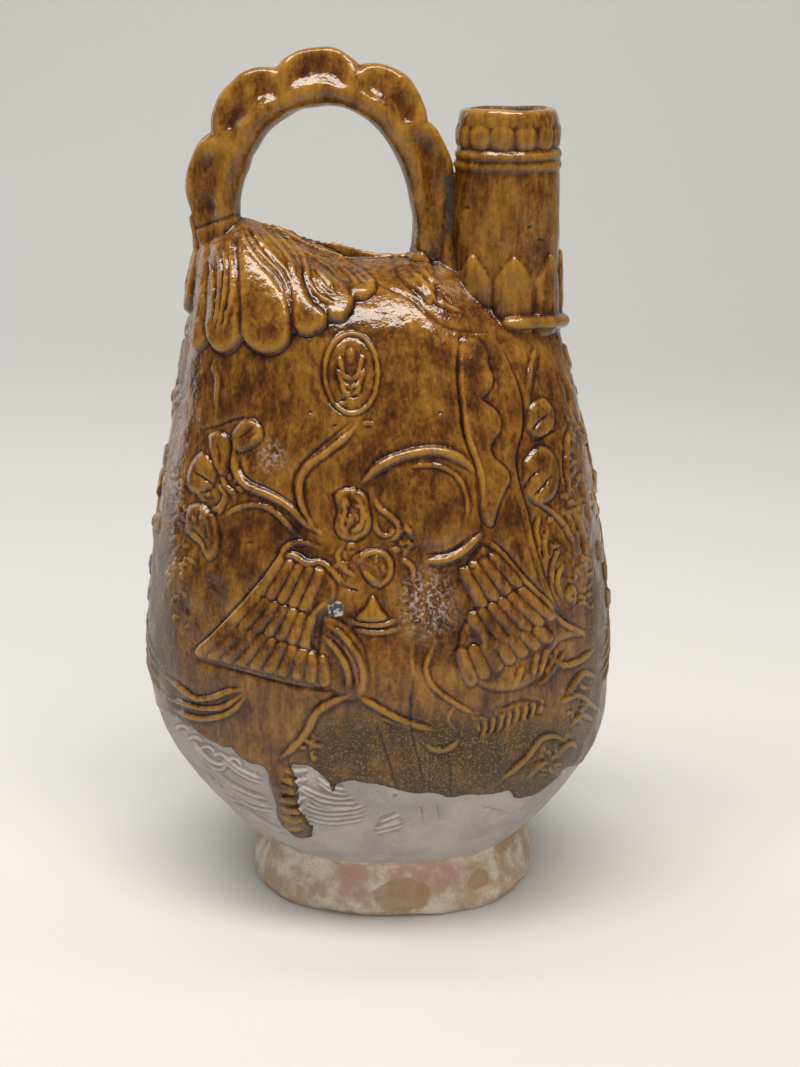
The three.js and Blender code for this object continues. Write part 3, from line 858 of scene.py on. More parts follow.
def sample(field, drawn):
    """A grid's values at drawn places."""
    place = (drawn - np.array(DRAWING_LOW)) / GRID - 0.5
    place = np.clip(place, 0, np.array(field.shape) - 1.001)
    cell = place.astype(int)
    f = place - cell
    x, z = cell[:, 0], cell[:, 1]
    low = mix(field[x, z], field[x + 1, z], f[:, 0])
    high = mix(field[x, z + 1], field[x + 1, z + 1], f[:, 0])
    return mix(low, high, f[:, 1])


def fan(art, plain=False):
    """Petals spread over the shoulder from under the handle's left foot, as one scalloped sheet."""
    art.pad([(-62, 240), (-61.5, 226), (-62.5, 212), (-63.8, 203), (-62.4, 198.2), (-60, 199.2),
             (-57.9, 202.2), (-56, 198.9), (-53, 197.3), (-50, 198.3), (-46.6, 202.4), (-44.6, 200.4),
             (-41, 197.8), (-37, 197.1),
             (-33, 198.5), (-30, 202.4), (-28.4, 205.2), (-25.3, 203.5), (-22, 204), (-17.6, 208.4),
             (-15.3, 208.3), (-12.4, 208.2), (-9.6, 210.3), (-8, 215), (-6.2, 215.7), (-3.4, 216.1),
             (-1.2, 218), (-0.3, 221), (-1.6, 223.4), (-6, 227), (-12, 231), (-22, 236), (-34, 241),
             (-45, 245), (-54, 243)],
            1.5, 1.5, lean=((-48, 240), (-38, 214), 0.25), furrow=0.5)
    petals = (
        ([(-59, 236), (-61.5, 226), (-62.5, 212), (-63.8, 203), (-62.4, 198.2), (-60, 199.2), (-57.8, 203.5),
          (-57.2, 212), (-56.8, 222), (-56.4, 234)], 0.9, (-58, 236), (-61, 206)),
        ([(-55.6, 235), (-56.6, 226), (-57.4, 214), (-58.2, 207), (-57.9, 202.2), (-56, 198.9), (-53, 197.3),
          (-50, 198.3), (-47.5, 200.8), (-46.2, 204), (-46.4, 212), (-46.8, 222), (-47.8, 230), (-49.4, 236)],
         1.3, (-51, 236), (-52, 206)),
        ([(-46.9, 236), (-46.6, 224), (-46.4, 212), (-46.5, 204.5), (-44.6, 200.4), (-41, 197.8),
        (-37, 197.1),
          (-33, 198.5), (-30.4, 201.5), (-29.6, 206), (-30.4, 213), (-32, 218), (-35, 222.5), (-39.4, 228),
          (-43.2, 234), (-45.4, 238.5)], 1.5, (-45.5, 238), (-38, 207)),
        ([(-43, 239.5), (-37.6, 232), (-32.4, 225), (-29.8, 219), (-29, 212), (-29.2, 207), (-28, 204.8),
          (-25.3, 203.5), (-22, 204), (-19, 205.7), (-17, 208.4), (-18.6, 211.5), (-22.4, 215), (-24.6, 219),
          (-25.8, 225), (-29.6, 231), (-36.6, 238)], 1.2, (-41, 239), (-23, 209)),
        ([(-33, 236.6), (-26.6, 230), (-24.6, 226), (-23.4, 220.5), (-21.2, 216.4), (-18.5, 212.8),
          (-17.2, 209.8), (-15.3, 208.3), (-12.4, 208.2), (-9.6, 210.3), (-8, 213.5), (-9, 217), (-11.2, 220),
          (-14.4, 223.5), (-19.6, 228.5), (-25.6, 233.5)], 1.1, (-26, 232), (-13, 212)),
        ([(-20, 231.5), (-13, 225.8), (-9.9, 221.5), (-8.4, 217.6), (-6.2, 215.7), (-3.4, 216.1), (-1.2, 218),
          (-0.3, 221), (-1.6, 223.4), (-6, 226.6), (-13, 230.6)], 0.8, (-15, 229), (-5, 218)),
    )
    for outline, height, root, tip in petals:
        art.pad(outline, 1.5 + height, 2.0, lean=(root, tip, 0.4), furrow=0)
    if plain:
        return
    ribs = [
        [(-56.6, 231), (-55.2, 224), (-54.8, 216), (-55.3, 208)],
        [(-53.6, 233), (-52.4, 226), (-52.9, 217), (-53.6, 211), (-55, 205)],
        [(-51.4, 234), (-50.6, 226), (-51.2, 217), (-52.2, 210), (-53.6, 204)],
        [(-49.3, 233), (-48.6, 224), (-48.8, 216), (-50.4, 209), (-52, 203.5)],
        [(-46.6, 241), (-44.4, 235), (-40, 228.6), (-35.4, 223.6), (-32.6, 219), (-31.6, 212)],
        [(-45.6, 241.4), (-43, 236), (-38.5, 230), (-33.8, 225), (-31.2, 220), (-30.2, 213)],
        [(-44, 242), (-40, 235.6), (-35.2, 229.6), (-31.2, 224.6), (-29, 219.6), (-28.2, 214)],
        [(-41.5, 242.5), (-36, 236), (-31.6, 230.6), (-29.2, 225.8), (-28, 220.6)],
        [(-38, 241.6), (-32, 235.6), (-28.2, 230.6), (-26.4, 226)],
        [(-34, 240), (-28, 234.6), (-25.4, 229.6), (-24.4, 223.6), (-22.8, 218.6)],
        [(-27.2, 232.4), (-24.6, 227), (-23.4, 221.4), (-20.8, 217), (-17, 214.2), (-13.6, 213.4)],
        [(-26.4, 233.2), (-23.4, 230.8), (-20, 228.6), (-16, 225.6), (-13.4, 222.6)],
        [(-31, 238), (-24, 234.6), (-18, 231.6), (-12.4, 227.6)],
        [(-22, 226), (-18, 222), (-15.6, 218.6)],
        [(-20.6, 222.4), (-17.6, 218.6), (-14.4, 216.6)],
        [(-38, 242.6), (-29, 238), (-20, 234), (-10, 229.4)],
        [(-12.6, 226.6), (-9, 223.4), (-6.4, 219.6)],
        [(-8.8, 226), (-6, 222.6), (-3.4, 219.6)],
    ]
    for points in ribs:
        art.ridge(points, 0.62, 1.0)
    art.tangle(-52, 214, 3, 9, 8, 5, 0.5)
    art.tangle(-38, 208, 5, 7, 7, 6, 0.35)


def mound(art):
    """Clay smeared round the spout's root, with the seam of its lower edge."""
    art.pad([(5, 231), (6.6, 226), (9, 222.2), (14.6, 217.8), (18, 214), (20, 217), (19.6, 224), (18, 230),
             (14, 233)], 1.2, 2.4, furrow=0.4)
    art.groove([(-2, 221.6), (8, 218), (13.4, 215), (19.4, 209), (27, 205.4), (38, 204.4)], 1.0, 0.5)
    art.ridge([(8, 229), (12, 225.4), (16, 221), (20, 215.6), (27, 211.6)], 0.9, 0.9)
    art.ridge([(15.6, 226), (18.4, 222.4), (22, 221.2)], 0.7, 1.8)
    art.ridge([(20.5, 217), (24.5, 213.6), (29, 211.8)], 0.6, 1.6)
    art.tangle(15, 226, 4, 5, 5, 16, 0.7)


def jewel(art, plain=False):
    """An oval jewel with a worn rosette in it."""
    art.ridge(oval(-9, 190, 9.4, 14.2), 0.8, 1.1, joined=True)
    art.groove([(-19.4, 194), (-18.8, 186), (-15.2, 178.4), (-12, 175.4)], 1.0, 0.6)
    art.pad(oval(-9, 190, 8.2, 12.8), 0.4, 3, furrow=0)
    if plain:
        return
    for side in (-1, 1):
        for root, tip, half in ((182, 186.4, 3.4), (185, 191.6, 4.6), (188, 196.8, 4.2)):
            bend = (-9.2 + side * half * 0.6, root + 1.4)
            art.ridge([(-9.2, root), bend, (-9.2 + side * half, tip)], 0.8, 1.2)
    art.pad(oval(-9.2, 196.4, 1.8, 3.4), 0.7, 1)
    for x, z in ((-12, 180.5), (-8.2, 182)):
        art.groove([(x - 0.4, z), (x + 0.5, z + 0.3)], 1.1, 1.2, taper=1)


def stem(art):
    """The S-shaped stem that falls from the jewel, with its light edge."""
    art.ridge([(-6.6, 172.4), (-11, 167.4), (-18.4, 161.4), (-24.6, 156.4), (-27.6, 151), (-27.8, 145),
               (-26.4, 139.4), (-22.6, 133)], 1.3, 1.2)
    art.groove([(-8.4, 173.4), (-14.6, 168.6), (-20, 164.2), (-25.4, 159.4), (-28.6, 155.4), (-30.4, 150),
                (-29.4, 143), (-26.2, 136.4), (-21.6, 131)], 1.0, 0.8)
    art.ridge([(-5.6, 171.8), (-3.4, 172.4), (-1, 171.8)], 0.9, 0.8)


def left_leaves(art):
    """Lobed leaves on two curling stems at the left of the figure."""
    art.pad([(-50, 170.4), (-47.4, 173), (-44, 173.6), (-41.2, 171.4), (-40.4, 168), (-41.8, 165.2),
             (-45, 163.2), (-48.6, 162), (-51, 164), (-51.4, 167.4)], 1.1, 1.5)
    art.ridge([(-44.6, 165.6), (-42, 167.8)], 0.7, 0.8)
    art.groove([(-49, 166.4), (-46, 168.6), (-43.4, 171)], 0.6, 0.5)
    art.pad([(-59.4, 167.8), (-56, 169.4), (-52.4, 166.8), (-52, 162), (-53.6, 156.4), (-55.4, 153.4),
             (-57.6, 156.4), (-59, 161.4)], 1.0, 1.4)
    art.groove([(-56.4, 165.4), (-55.4, 160.4), (-55.4, 156.4)], 0.6, 0.5)
    art.pad([(-62.2, 161.8), (-59.4, 159.4), (-57.4, 155.8), (-57.6, 151.4), (-60, 148), (-64, 146.4),
             (-67, 148), (-67.4, 153), (-65.4, 158.4)], 1.1, 1.5)
    art.groove([(-64.4, 154.4), (-61, 152), (-58.4, 149.8)], 0.8, 0.9)
    art.groove([(-61, 170), (-56, 171.4), (-50, 173.8), (-45.4, 174.9)], 0.9, 0.6)
    art.ridge([(-50.6, 164), (-51, 158), (-50, 153.4), (-47.4, 149.8), (-43.4, 147.6), (-39.4, 146),
               (-32.6, 142), (-26.4, 135.8), (-20.4, 131)], 1.5, 1.6)
    art.groove([(-48.8, 161), (-48.6, 156), (-46, 151.8), (-41.4, 149.4), (-36, 146.4),
                (-30.6, 142)], 0.8, 0.5)
    art.ridge([(-55.4, 152.6), (-53.8, 148.4), (-50.6, 146)], 1.0, 1.0)
    art.ridge([(-56.4, 137), (-50.4, 140.8), (-45, 142.2), (-40, 141.4), (-36, 138.6), (-31.4, 133.6),
               (-27.6, 129.8)], 0.9, 1.0)
    art.pad([(-67.6, 141.6), (-63.6, 142.4), (-59.4, 139.4), (-57.4, 134), (-57.2, 128), (-58.6, 123.4),
             (-61, 121), (-62.8, 123.6), (-64.2, 127.4), (-67.2, 130.2), (-68.6, 135.6)], 1.1, 1.5)
    art.groove([(-66.6, 134), (-64.4, 131.6), (-62.2, 128.6), (-61, 124.4)], 0.7, 0.6)
    art.ridge([(-62.4, 139.6), (-60.4, 135), (-59.8, 129.6)], 0.7, 0.7)
    art.ridge([(-57.4, 150), (-54.4, 145.6), (-56.4, 141.4), (-60, 139.8)], 0.9, 1.0)
    art.tangle(-55, 148, 5, 9, 12, 31, 0.8)
    art.tangle(-63, 138, 4, 9, 9, 32, 0.8)
    art.tangle(-70.4, 136, 3, 22, 26, 33, 0.8)
    art.tangle(-73, 106, 3, 18, 18, 34, 0.7)


def sun(art, plain=False):
    """The round disc behind the blossom, rimmed by a band of clay."""
    art.ridge([(-5.4, 150.6), (-1, 155), (3, 157.8), (8, 160), (14, 161.6), (20, 162.2), (26, 161), (31, 158),
               (34.4, 154.4)], 1.9, 1.9)
    art.ridge([(9.4, 155.4), (15, 156.8), (20.4, 156.8), (25.4, 155), (29.4, 151.2), (31.6, 146),
               (32.2, 140), (31, 134.4)], 0.8, 0.9)
    art.ridge([(17, 120.6), (24.4, 121.2), (30, 123.8), (34, 127.6), (37.4, 131.6)], 1.5, 1.7)
    art.groove([(34.6, 153), (35.8, 146), (36.4, 139), (38, 132.6)], 0.8, 0.5)
    art.groove([(17, 123.6), (24, 124.2), (29.4, 127), (33, 131)], 0.9, 0.7)
    if not plain:
        art.pad(oval(19.5, 140.5, 11.6, 14.6), 0.6, 6, furrow=0)


def blossom(art):
    """A full blossom with curled petals, a pot under it and curls at its right."""
    art.pad([(-15.6, 146), (-12, 148.4), (-7.6, 148), (-4.2, 146), (-3, 141), (-2.2, 135.6), (-4, 131),
             (-8.4, 128.6), (-13.4, 129.8), (-15.4, 134), (-14.4, 140)], 1.0, 1.6, furrow=0.5)
    art.ridge([(-13, 145.4), (-11.6, 140), (-12.8, 134.6), (-11, 131)], 0.8, 1.1)
    art.ridge([(-9, 146), (-6.4, 143.4), (-5.4, 139), (-6.2, 134), (-9, 131.4)], 0.8, 1.1)
    art.tangle(-9.4, 138.6, 4.6, 8, 14, 41, 1.1)
    art.ridge([(-1.6, 146), (0.6, 141), (4.4, 138), (7.4, 134.4), (6.4, 130), (2.6, 128.4)], 0.9, 1.3)
    art.ridge([(-1, 138), (-0.4, 133), (2.4, 130.4), (5.4, 131.6), (5, 134.6)], 0.8, 1.1)
    art.tangle(8, 129.4, 5, 5, 15, 42, 1.1)
    art.tangle(14, 128, 4, 3.4, 6, 43, 0.7)
    art.pad([(-7, 123.6), (-3, 125.4), (2.4, 124.6), (5.4, 120.4), (4.4, 114.4), (0.6, 110.6), (-3.4, 112.8),
             (-6.4, 118)], 0.9, 1.6, furrow=0.4)
    art.ridge([(-6.4, 122), (-2, 124.2), (2.4, 123.4), (4.6, 119.6), (4.2, 115), (0.2, 111)], 0.8, 0.9)
    art.ridge([(-12.4, 127), (-14.6, 122.4), (-12, 117.6), (-8, 114.6)], 0.9, 1.1)
    art.ridge([(8, 122), (12.4, 118.4), (12.6, 112)], 1.0, 1.2)
    art.groove([(-14.4, 113.6), (-10.6, 110.2), (-7, 109.4)], 0.9, 1.1)
    art.tangle(-10, 122, 4.4, 5, 12, 44, 0.9)
    art.tangle(-2, 119, 4, 5, 8, 45, 0.8)


def dish(art):
    """A small stand on a shallow dish under the blossom."""
    art.pad([(-2, 107.6), (-4.4, 103), (-8.2, 98.4), (-2.6, 97.2), (3.2, 98.4), (0.4, 103)], 1.4, 1.8)
    art.ridge([(-2, 108), (-2.2, 103), (-2.4, 98.4)], 0.7, 0.7)
    art.ridge([(-11, 98.6), (-7.6, 96.6), (-3, 95.8), (2.6, 96.2), (7.2, 98.4)], 1.0, 1.3)
    art.ridge([(-8.6, 94.6), (-3, 93), (3, 93.2), (8.6, 95)], 0.9, 1.0)
    art.groove([(-9, 96), (-3, 94.4), (4, 94.6)], 0.6, 0.6)


def crust(art):
    """The worn patch at the right of the dish, where the glaze crawled."""
    art.tangle(16, 104, 8, 12, 60, 51, 0.5)
    art.tangle(24, 96, 6, 8, 20, 52, 0.4)


def left_wing(art):
    """The left wing: a folded shoulder and three rows of feathers."""
    art.pad([(-36, 122.4), (-30, 124), (-20, 118.4), (-15, 112), (-17, 104), (-22, 98), (-25, 90), (-21, 80),
             (-18, 71), (-30, 73), (-44, 77), (-58, 81), (-67, 84), (-64, 90), (-53, 100.4),
             (-44, 110)], 0.9, 2.4)
    art.bars(5, (-35.2, 121), (-21, 116.8), (-43, 108.6), (-27, 102.6))
    art.bars(7, (-43.4, 107), (-24.4, 98.6), (-53.6, 97), (-27, 88))
    art.bars(10, (-52.6, 95.8), (-20.8, 82.6), (-66, 84.8), (-19.6, 73))
    art.ridge([(-20, 125.4), (-25, 127.6), (-29.4, 128), (-33.6, 125.6), (-35.8, 121.6), (-40.4, 115),
               (-46.6, 107), (-53.4, 99.4), (-60.4, 91.4), (-67, 86)], 1.1, 1.3)
    art.ridge([(-34, 122.8), (-30, 123), (-26, 119.8), (-21, 120.4), (-17, 117.2), (-13.6, 113),
               (-9.4, 109)], 1.2, 1.2)
    art.groove([(-33, 127.6), (-37.4, 121), (-47, 109), (-60.4, 93.8), (-69, 86)], 0.8, 0.5)
    art.groove([(-67, 82.4), (-56, 79.6), (-44, 75.6), (-29, 71.6), (-12, 68.6)], 0.9, 0.5)
    art.ridge([(-66.6, 82.8), (-50, 78.2), (-36, 74.2), (-22, 70.8)], 0.9, 0.7)
    art.ridge([(-18.6, 105.4), (-23, 101), (-25.4, 95)], 1.0, 1.0)


def right_wing(art):
    """The right wing, spread the other way."""
    art.pad([(38, 127), (46, 120), (54, 110), (66, 99), (76, 93), (66, 89), (60, 76), (50, 70), (38, 71.6),
             (30, 84), (31, 95), (36, 104), (31, 116)], 0.8, 2.4)
    art.bars(4, (41.4, 122.6), (31, 117.2), (51, 112), (38, 104))
    art.bars(6, (51.6, 109.4), (34, 99.8), (63, 99.2), (42, 87.4))
    art.bars(7, (57.4, 94.2), (30.4, 85.4), (62.2, 90.4), (34.6, 73))
    art.ridge([(38.6, 129.6), (45, 123.4), (52.2, 114.4), (60.4, 106), (64.4, 100), (69, 95.6),
               (77, 91.6)], 1.1, 1.2)
    art.ridge([(20, 120.8), (26, 122), (31, 124.4), (35.6, 128)], 1.1, 1.1)
    for root, tip in (((53, 80), (50, 71)), ((58, 85), (57, 76)), ((62, 88), (59, 75)), ((66, 87), (62, 76))):
        art.ridge([root, tip], 1.2, 0.9)
    art.ridge([(69, 86), (64.4, 78), (60, 72)], 1.0, 0.9)
    art.groove([(42, 129), (48, 122.6), (55, 113.6), (63, 105)], 0.8, 0.5)


def breast(art):
    """The bird's breast, its crossed legs and the plume that falls at its right."""
    art.pad([(-20, 100), (-13, 97), (-7, 90), (-4, 80), (-4.6, 70), (-10, 66), (-17, 70),
             (-22, 80)], 0.9, 3.4)
    art.ridge([(-19, 96.4), (-14.6, 93.6), (-11.6, 90), (-8, 84.6), (-5.8, 78), (-5.8, 70)], 1.0, 1.2)
    art.ridge([(-20.6, 92), (-16.4, 87.6), (-12.8, 81.6), (-11.2, 76), (-11.2, 70)], 1.2, 1.1)
    art.groove([(-17.4, 91), (-13.6, 86.6), (-10, 80), (-8.6, 71)], 0.8, 0.6)
    art.ridge([(-10.4, 68.2), (-17, 65.2), (-23, 61), (-26.2, 54.6), (-29.2, 49.8), (-33, 45.6),
               (-37.4, 42)], 1.6, 1.5)
    art.ridge([(-7.6, 67.4), (-2, 64), (3, 60.8), (8.4, 57.8), (14, 55.6), (21, 53.6)], 1.5, 1.4)
    art.ridge([(-29, 50.4), (-24, 47.6), (-20.4, 47)], 1.1, 1.0)
    art.ridge([(21, 90.6), (19, 84), (17.6, 79), (19.6, 72.4), (24.6, 67.4), (31, 63), (38, 59.4)], 1.0, 1.0)
    art.ridge([(12.6, 90), (12.4, 82), (13.4, 74)], 0.8, 0.6)
    art.groove([(13, 74), (12, 66), (12, 56), (13.6, 47), (15.6, 38), (17, 29)], 0.7, 0.7)
    art.groove([(-1.4, 59), (0, 54), (2, 47), (4.8, 37), (6.8, 29)], 0.7, 0.6)
    art.groove([(26, 45), (27.2, 36), (27, 26)], 0.7, 0.6)
    art.ridge([(0, 59), (8, 56), (13, 54)], 0.9, 0.8)
    art.ridge([(28.4, 64), (26, 58), (30, 52.4)], 0.8, 0.7)
    art.ridge([(17.6, 48), (20.6, 45.6), (26, 45.8), (30.4, 50)], 1.3, 1.1)


def ribbon(art, plain=False):
    """Folds of a long ribbon that falls between the disc and the right leaves."""
    art.groove([(28, 200), (28, 190), (29, 180), (30.2, 170), (32.2, 163), (34.6, 158),
                (35.2, 150)], 1.0, 0.9)
    art.ridge([(29.6, 200), (29.5, 188), (30.5, 178), (32, 168), (34.8, 160), (37.2, 152),
               (37.8, 142)], 0.7, 0.9)
    art.pad([(28.6, 203), (34, 203), (38, 199), (39, 193), (40.6, 188), (39.2, 184), (36.8, 181),
             (40.6, 178), (43.2, 174.6),
             (43.6, 170), (41, 166), (40, 162.8), (42, 159), (46, 155.4), (47.2, 151.6), (45.2, 147),
             (42.6, 140), (41, 134), (38, 137), (36.6, 150), (32.4, 164),
             (30.4, 180)], 0.8, 0.9, lean=((34, 204), (34, 190), 0.05), furrow=0.42)
    if plain:
        return
    art.pad([(43, 199), (47.4, 190.6), (50.4, 180.6), (51, 170), (49, 160), (50.4, 150), (53.6, 140),
             (56.6, 127), (60.4, 115), (64.6, 104), (62, 103), (56, 114), (50.6, 128), (47.6, 140),
             (47.8, 152), (44.4, 160),
             (45.6, 170), (43.4, 180), (42.4, 190)], 0.5, 1.6, furrow=0)
    art.groove([(43.4, 199), (47.6, 190.6), (51, 180.6), (51.4, 170), (49.4, 160), (50.8, 150), (54, 140),
                (57.2, 127), (61, 115), (65.2, 104), (70, 97)], 0.8, 0.75)
    art.groove([(47.8, 149), (50.6, 140), (54, 128), (57.6, 116), (61.4, 105)], 0.6, 0.4)
    art.groove([(57, 199), (55, 188), (53.6, 180)], 0.8, 0.5)
    art.ridge([(55, 200), (53.2, 190), (52.6, 184)], 0.9, 0.7)


def right_leaves(art):
    """Curling leaves one over the other at the right, running out to the flask's edge."""
    art.pad([(52.4, 170.4), (53, 176), (55, 180.2), (58, 181.2), (61, 178.2), (62.2, 174), (61, 169.6),
             (56.6, 166.6)], 1.0, 1.5)
    art.groove([(54.2, 169.4), (56.4, 172.6), (59.4, 175.4)], 0.8, 0.9)
    art.groove([(54.8, 165.6), (60, 168.2), (63.4, 170)], 0.8, 0.8)
    art.pad([(51.6, 157.6), (55.4, 162.6), (58, 164), (61.4, 161.8), (64, 156.4), (64.2, 150), (62, 144.6),
             (57, 142.6), (53, 147)], 1.1, 1.6)
    art.groove([(52.4, 147.6), (54, 152.2), (57, 155.2)], 0.8, 0.9)
    art.groove([(55, 145.4), (58.4, 148.8), (61, 153)], 0.8, 0.9)
    for points in (
        [(68, 178), (70, 174), (73, 166), (75, 158)], [(66.8, 172), (66, 165), (66.2, 155), (67.4, 146)],
        [(55, 143), (60, 140), (66, 134), (70, 126)], [(56.8, 139), (56, 131), (58.2, 125.6)],
        [(60.2, 133), (59, 127), (60.4, 120)], [(64.2, 126), (62, 118), (63, 110)],
        [(66, 119.4), (64, 113), (66, 106)], [(71, 152), (73.4, 144), (75.6, 135)],
        [(69.4, 140), (73, 130), (74, 121)], [(63.6, 190), (66.4, 184), (67.4, 178)],
    ):
        art.groove(points, 0.7, 0.7)
        art.ridge([(x + 1.3, z + 0.5) for x, z in points], 0.7, 0.8)
    art.pad([(70, 104), (68, 108), (70, 112.4), (72.2, 108.4)], 0.9, 1.0)
    art.tangle(70, 152, 5, 24, 36, 61, 0.8)
    art.tangle(74, 116, 4, 16, 22, 62, 0.8)
    art.tangle(62, 128, 4, 10, 12, 63, 0.8)


def hills(art):
    """Rocks, a hill and tufts of grass at the lower right."""
    for points in (
        [(70, 68), (72.4, 72.2), (76, 76.8), (80.4, 75)], [(68, 65), (74, 68), (79, 64), (82, 61)],
        [(46, 33), (51, 37.2), (55, 41.4), (58, 45.4), (61.2, 50), (66, 51.2), (70, 49)],
        [(64, 41), (68, 45.2), (72, 48.2), (74.4, 46)], [(63, 84), (68, 80), (74, 81.6), (79, 86)],
        [(56, 34), (60, 38.6), (63.6, 41)], [(72, 56), (76, 60), (80, 57.4)],
    ):
        art.ridge(points, 1.3, 1.4)
    for i in range(8):
        x, z = 37.4 + 3 * i, 50 + 1.3 * i
        art.groove([(x, z), (x + 1.2, z + 4), (x + 0.6, z + 7.4)], 0.7, 0.7)
        art.ridge([(x + 1.4, z + 1), (x + 2.6, z + 5), (x + 2.2, z + 8)], 0.6, 0.8)
    art.groove([(44, 62), (54, 66), (64, 63)], 0.8, 0.5)
    art.tangle(62, 42, 8, 7, 26, 71, 1.0)
    art.tangle(74, 66, 4, 10, 18, 72, 1.0)
    art.tangle(46, 56, 12, 4, 12, 73, 0.6)
    art.tangle(-26, 46, 3, 5, 9, 74, 1.0)


def waves(art):
    """Waves at the lower left, and the ones scratched in the slip below."""
    for points in (
        [(-79, 76), (-73, 70.4), (-68, 66.6), (-62, 67), (-56, 69.4), (-50, 70.2)],
        [(-78.6, 67), (-71, 64), (-65.8, 62.6), (-58, 63.2), (-50.8, 68.2)],
        [(-76, 62), (-68, 58.6), (-60, 59.2), (-54, 62.2), (-49.4, 67.4)],
    ):
        art.ridge(points, 1.2, 1.5)
    for points in (
        [(-70, 49), (-65, 42), (-60, 39.2), (-57, 42)], [(-66, 41), (-58, 32.4), (-50, 27.4), (-42, 24.4)],
        [(-60, 33), (-50, 24.4), (-40, 21)], [(-31, 31), (-24, 27.4), (-18, 25.4), (-10, 25)],
        [(-29, 23), (-20, 20.4), (-10, 21), (-5, 22.4)], [(-28, 18.4), (-18, 16.4), (-5, 18.2)],
        [(0, 15), (8, 18.2)], [(-2, 12), (9, 15.2)], [(-66, 32), (-58, 24), (-48, 17.6)],
        [(-60, 44), (-52, 37), (-44, 33)], [(-52, 21), (-44, 14.6), (-36, 10.4)],
        [(-24, 34.4), (-18, 30), (-12, 28.6)], [(-68, 37), (-61, 30), (-53, 25)], [(-27, 26.6),
         (-20, 23.6), (-8, 23)],
    ):
        for step in (0, 1.9):
            art.ridge([(x, z - step) for x, z in points], 0.95, 1.15)
    for i, (x, z) in enumerate(((-74, 52), (-69.6, 47.4), (-65.2, 43.4), (-60.6, 40.4), (-55.4, 38.6))):
        art.ridge(oval(x, z, 3.0, 3.2, 20 - 6 * i, 150 - 6 * i, 6), 0.8, 1.0)
    for i in range(7):
        x, z = -31 - 0.35 * i, 37 - 3.9 * i
        art.ridge([(x - 5, z + 0.9), (x, z - 0.5), (x + 4.6, z + 0.4)], 1.1, 0.9)
    for points in ([(16, 22), (17, 14)], [(22, 24), (23.4, 15)], [(38, 22), (52, 18)], [(44, 17), (56, 21)]):
        art.groove(points, 0.7, 0.3)
    art.tangle(30, 20, 26, 6, 16, 81, 0.35)
    art.tangle(-50, 30, 16, 9, 16, 82, 0.4)


def pits(art):
    """Burst bubbles and a long scratch in the glaze."""
    for x, z in ((-15, 171.4), (-23.6, 176.2), (12, 64), (34, 118), (55.6, 236.8), (52, 241), (-36, 161),
        (6, 26),
                 (40, 30), (-46, 128), (22, 176), (60, 60), (31, 247.4)):
        art.groove([(x - 0.2, z), (x + 0.4, z + 0.1)], 0.7, 0.7, taper=1)
    art.ridge([(-56.4, 196), (-56.8, 192), (-55.6, 188), (-56.2, 182), (-56.4, 176)], 1.0, 0.7)


def front_drawing():
    """The carved front as a grid of heights, each figure drawn over the ones before it."""
    art = Drawing()
    motifs = (
        fan, mound, jewel, stem, left_leaves, sun, blossom, dish, crust, left_wing, right_wing, breast,
        ribbon, right_leaves, hills, waves, pits,
    )
    for motif in motifs:
        motif(art)
    return art.heights()


def side_drawing(petals):
    """Leaves on a climbing stem over waves, and petals above them where the fan goes round."""
    art = Drawing()
    for x in (-14, 0, 14) if petals else ():
        left = [(x - 4, 236), (x - 6.6, 216), (x - 6.4, 205), (x, 198.6)]
        right = [(x + 6.4, 205), (x + 6.6, 216), (x + 4, 236)]
        art.pad(left + right, 2.6, 2.2, lean=((x, 236), (x, 206), 0.4))
        for off in (-2, 0, 2):
            art.ridge([(x + off * 0.6, 230), (x + off * 1.2, 206)], 0.62, 1.0)
    spine = curve([(6, 58), (-12, 84), (8, 112), (-8, 140), (6, 168), (0, 192)], 1.0)
    art.ridge(spine[::6], 1.1, 1.5)
    for i, (x, z) in enumerate(spine[10::16]):
        side = 1 if i % 2 else -1
        outline = oval(0, 0, 8.6, 4.6, 0, 330, 11)
        turn = math.radians(38)
        across = outline[:, 0] * math.cos(turn) - outline[:, 1] * math.sin(turn)
        up = outline[:, 0] * math.sin(turn) + outline[:, 1] * math.cos(turn)
        art.pad(np.stack([x + side * (across + 9), z + up + 7], 1), 1.1, 1.6)
        art.groove([(x + side * 3, z + 2), (x + side * 9, z + 7), (x + side * 15, z + 12)], 0.7, 0.7)
        art.tangle(x + side * 20, z + 2, 7, 8, 9, 90 + i, 1.0)
    for i in range(4):
        wave = ((-50, 66), (-26, 60), (0, 66), (26, 60), (50, 66))
        art.ridge([(x, z - 5 * i) for x, z in wave], 1.2, 1.2)
    return art.heights()


def back_drawing():
    """The unseen back repeats the fan, the sun and the jewel, and is plainer."""
    art = Drawing()
    fan(art, plain=True)
    jewel(art, plain=True)
    sun(art, plain=True)
    ribbon(art, plain=True)
    left_leaves(art)
    left_wing(art)
    right_wing(art)
    waves(art)
    return art.heights()


# Where the glaze ends, drawn on the front and by degrees round the back


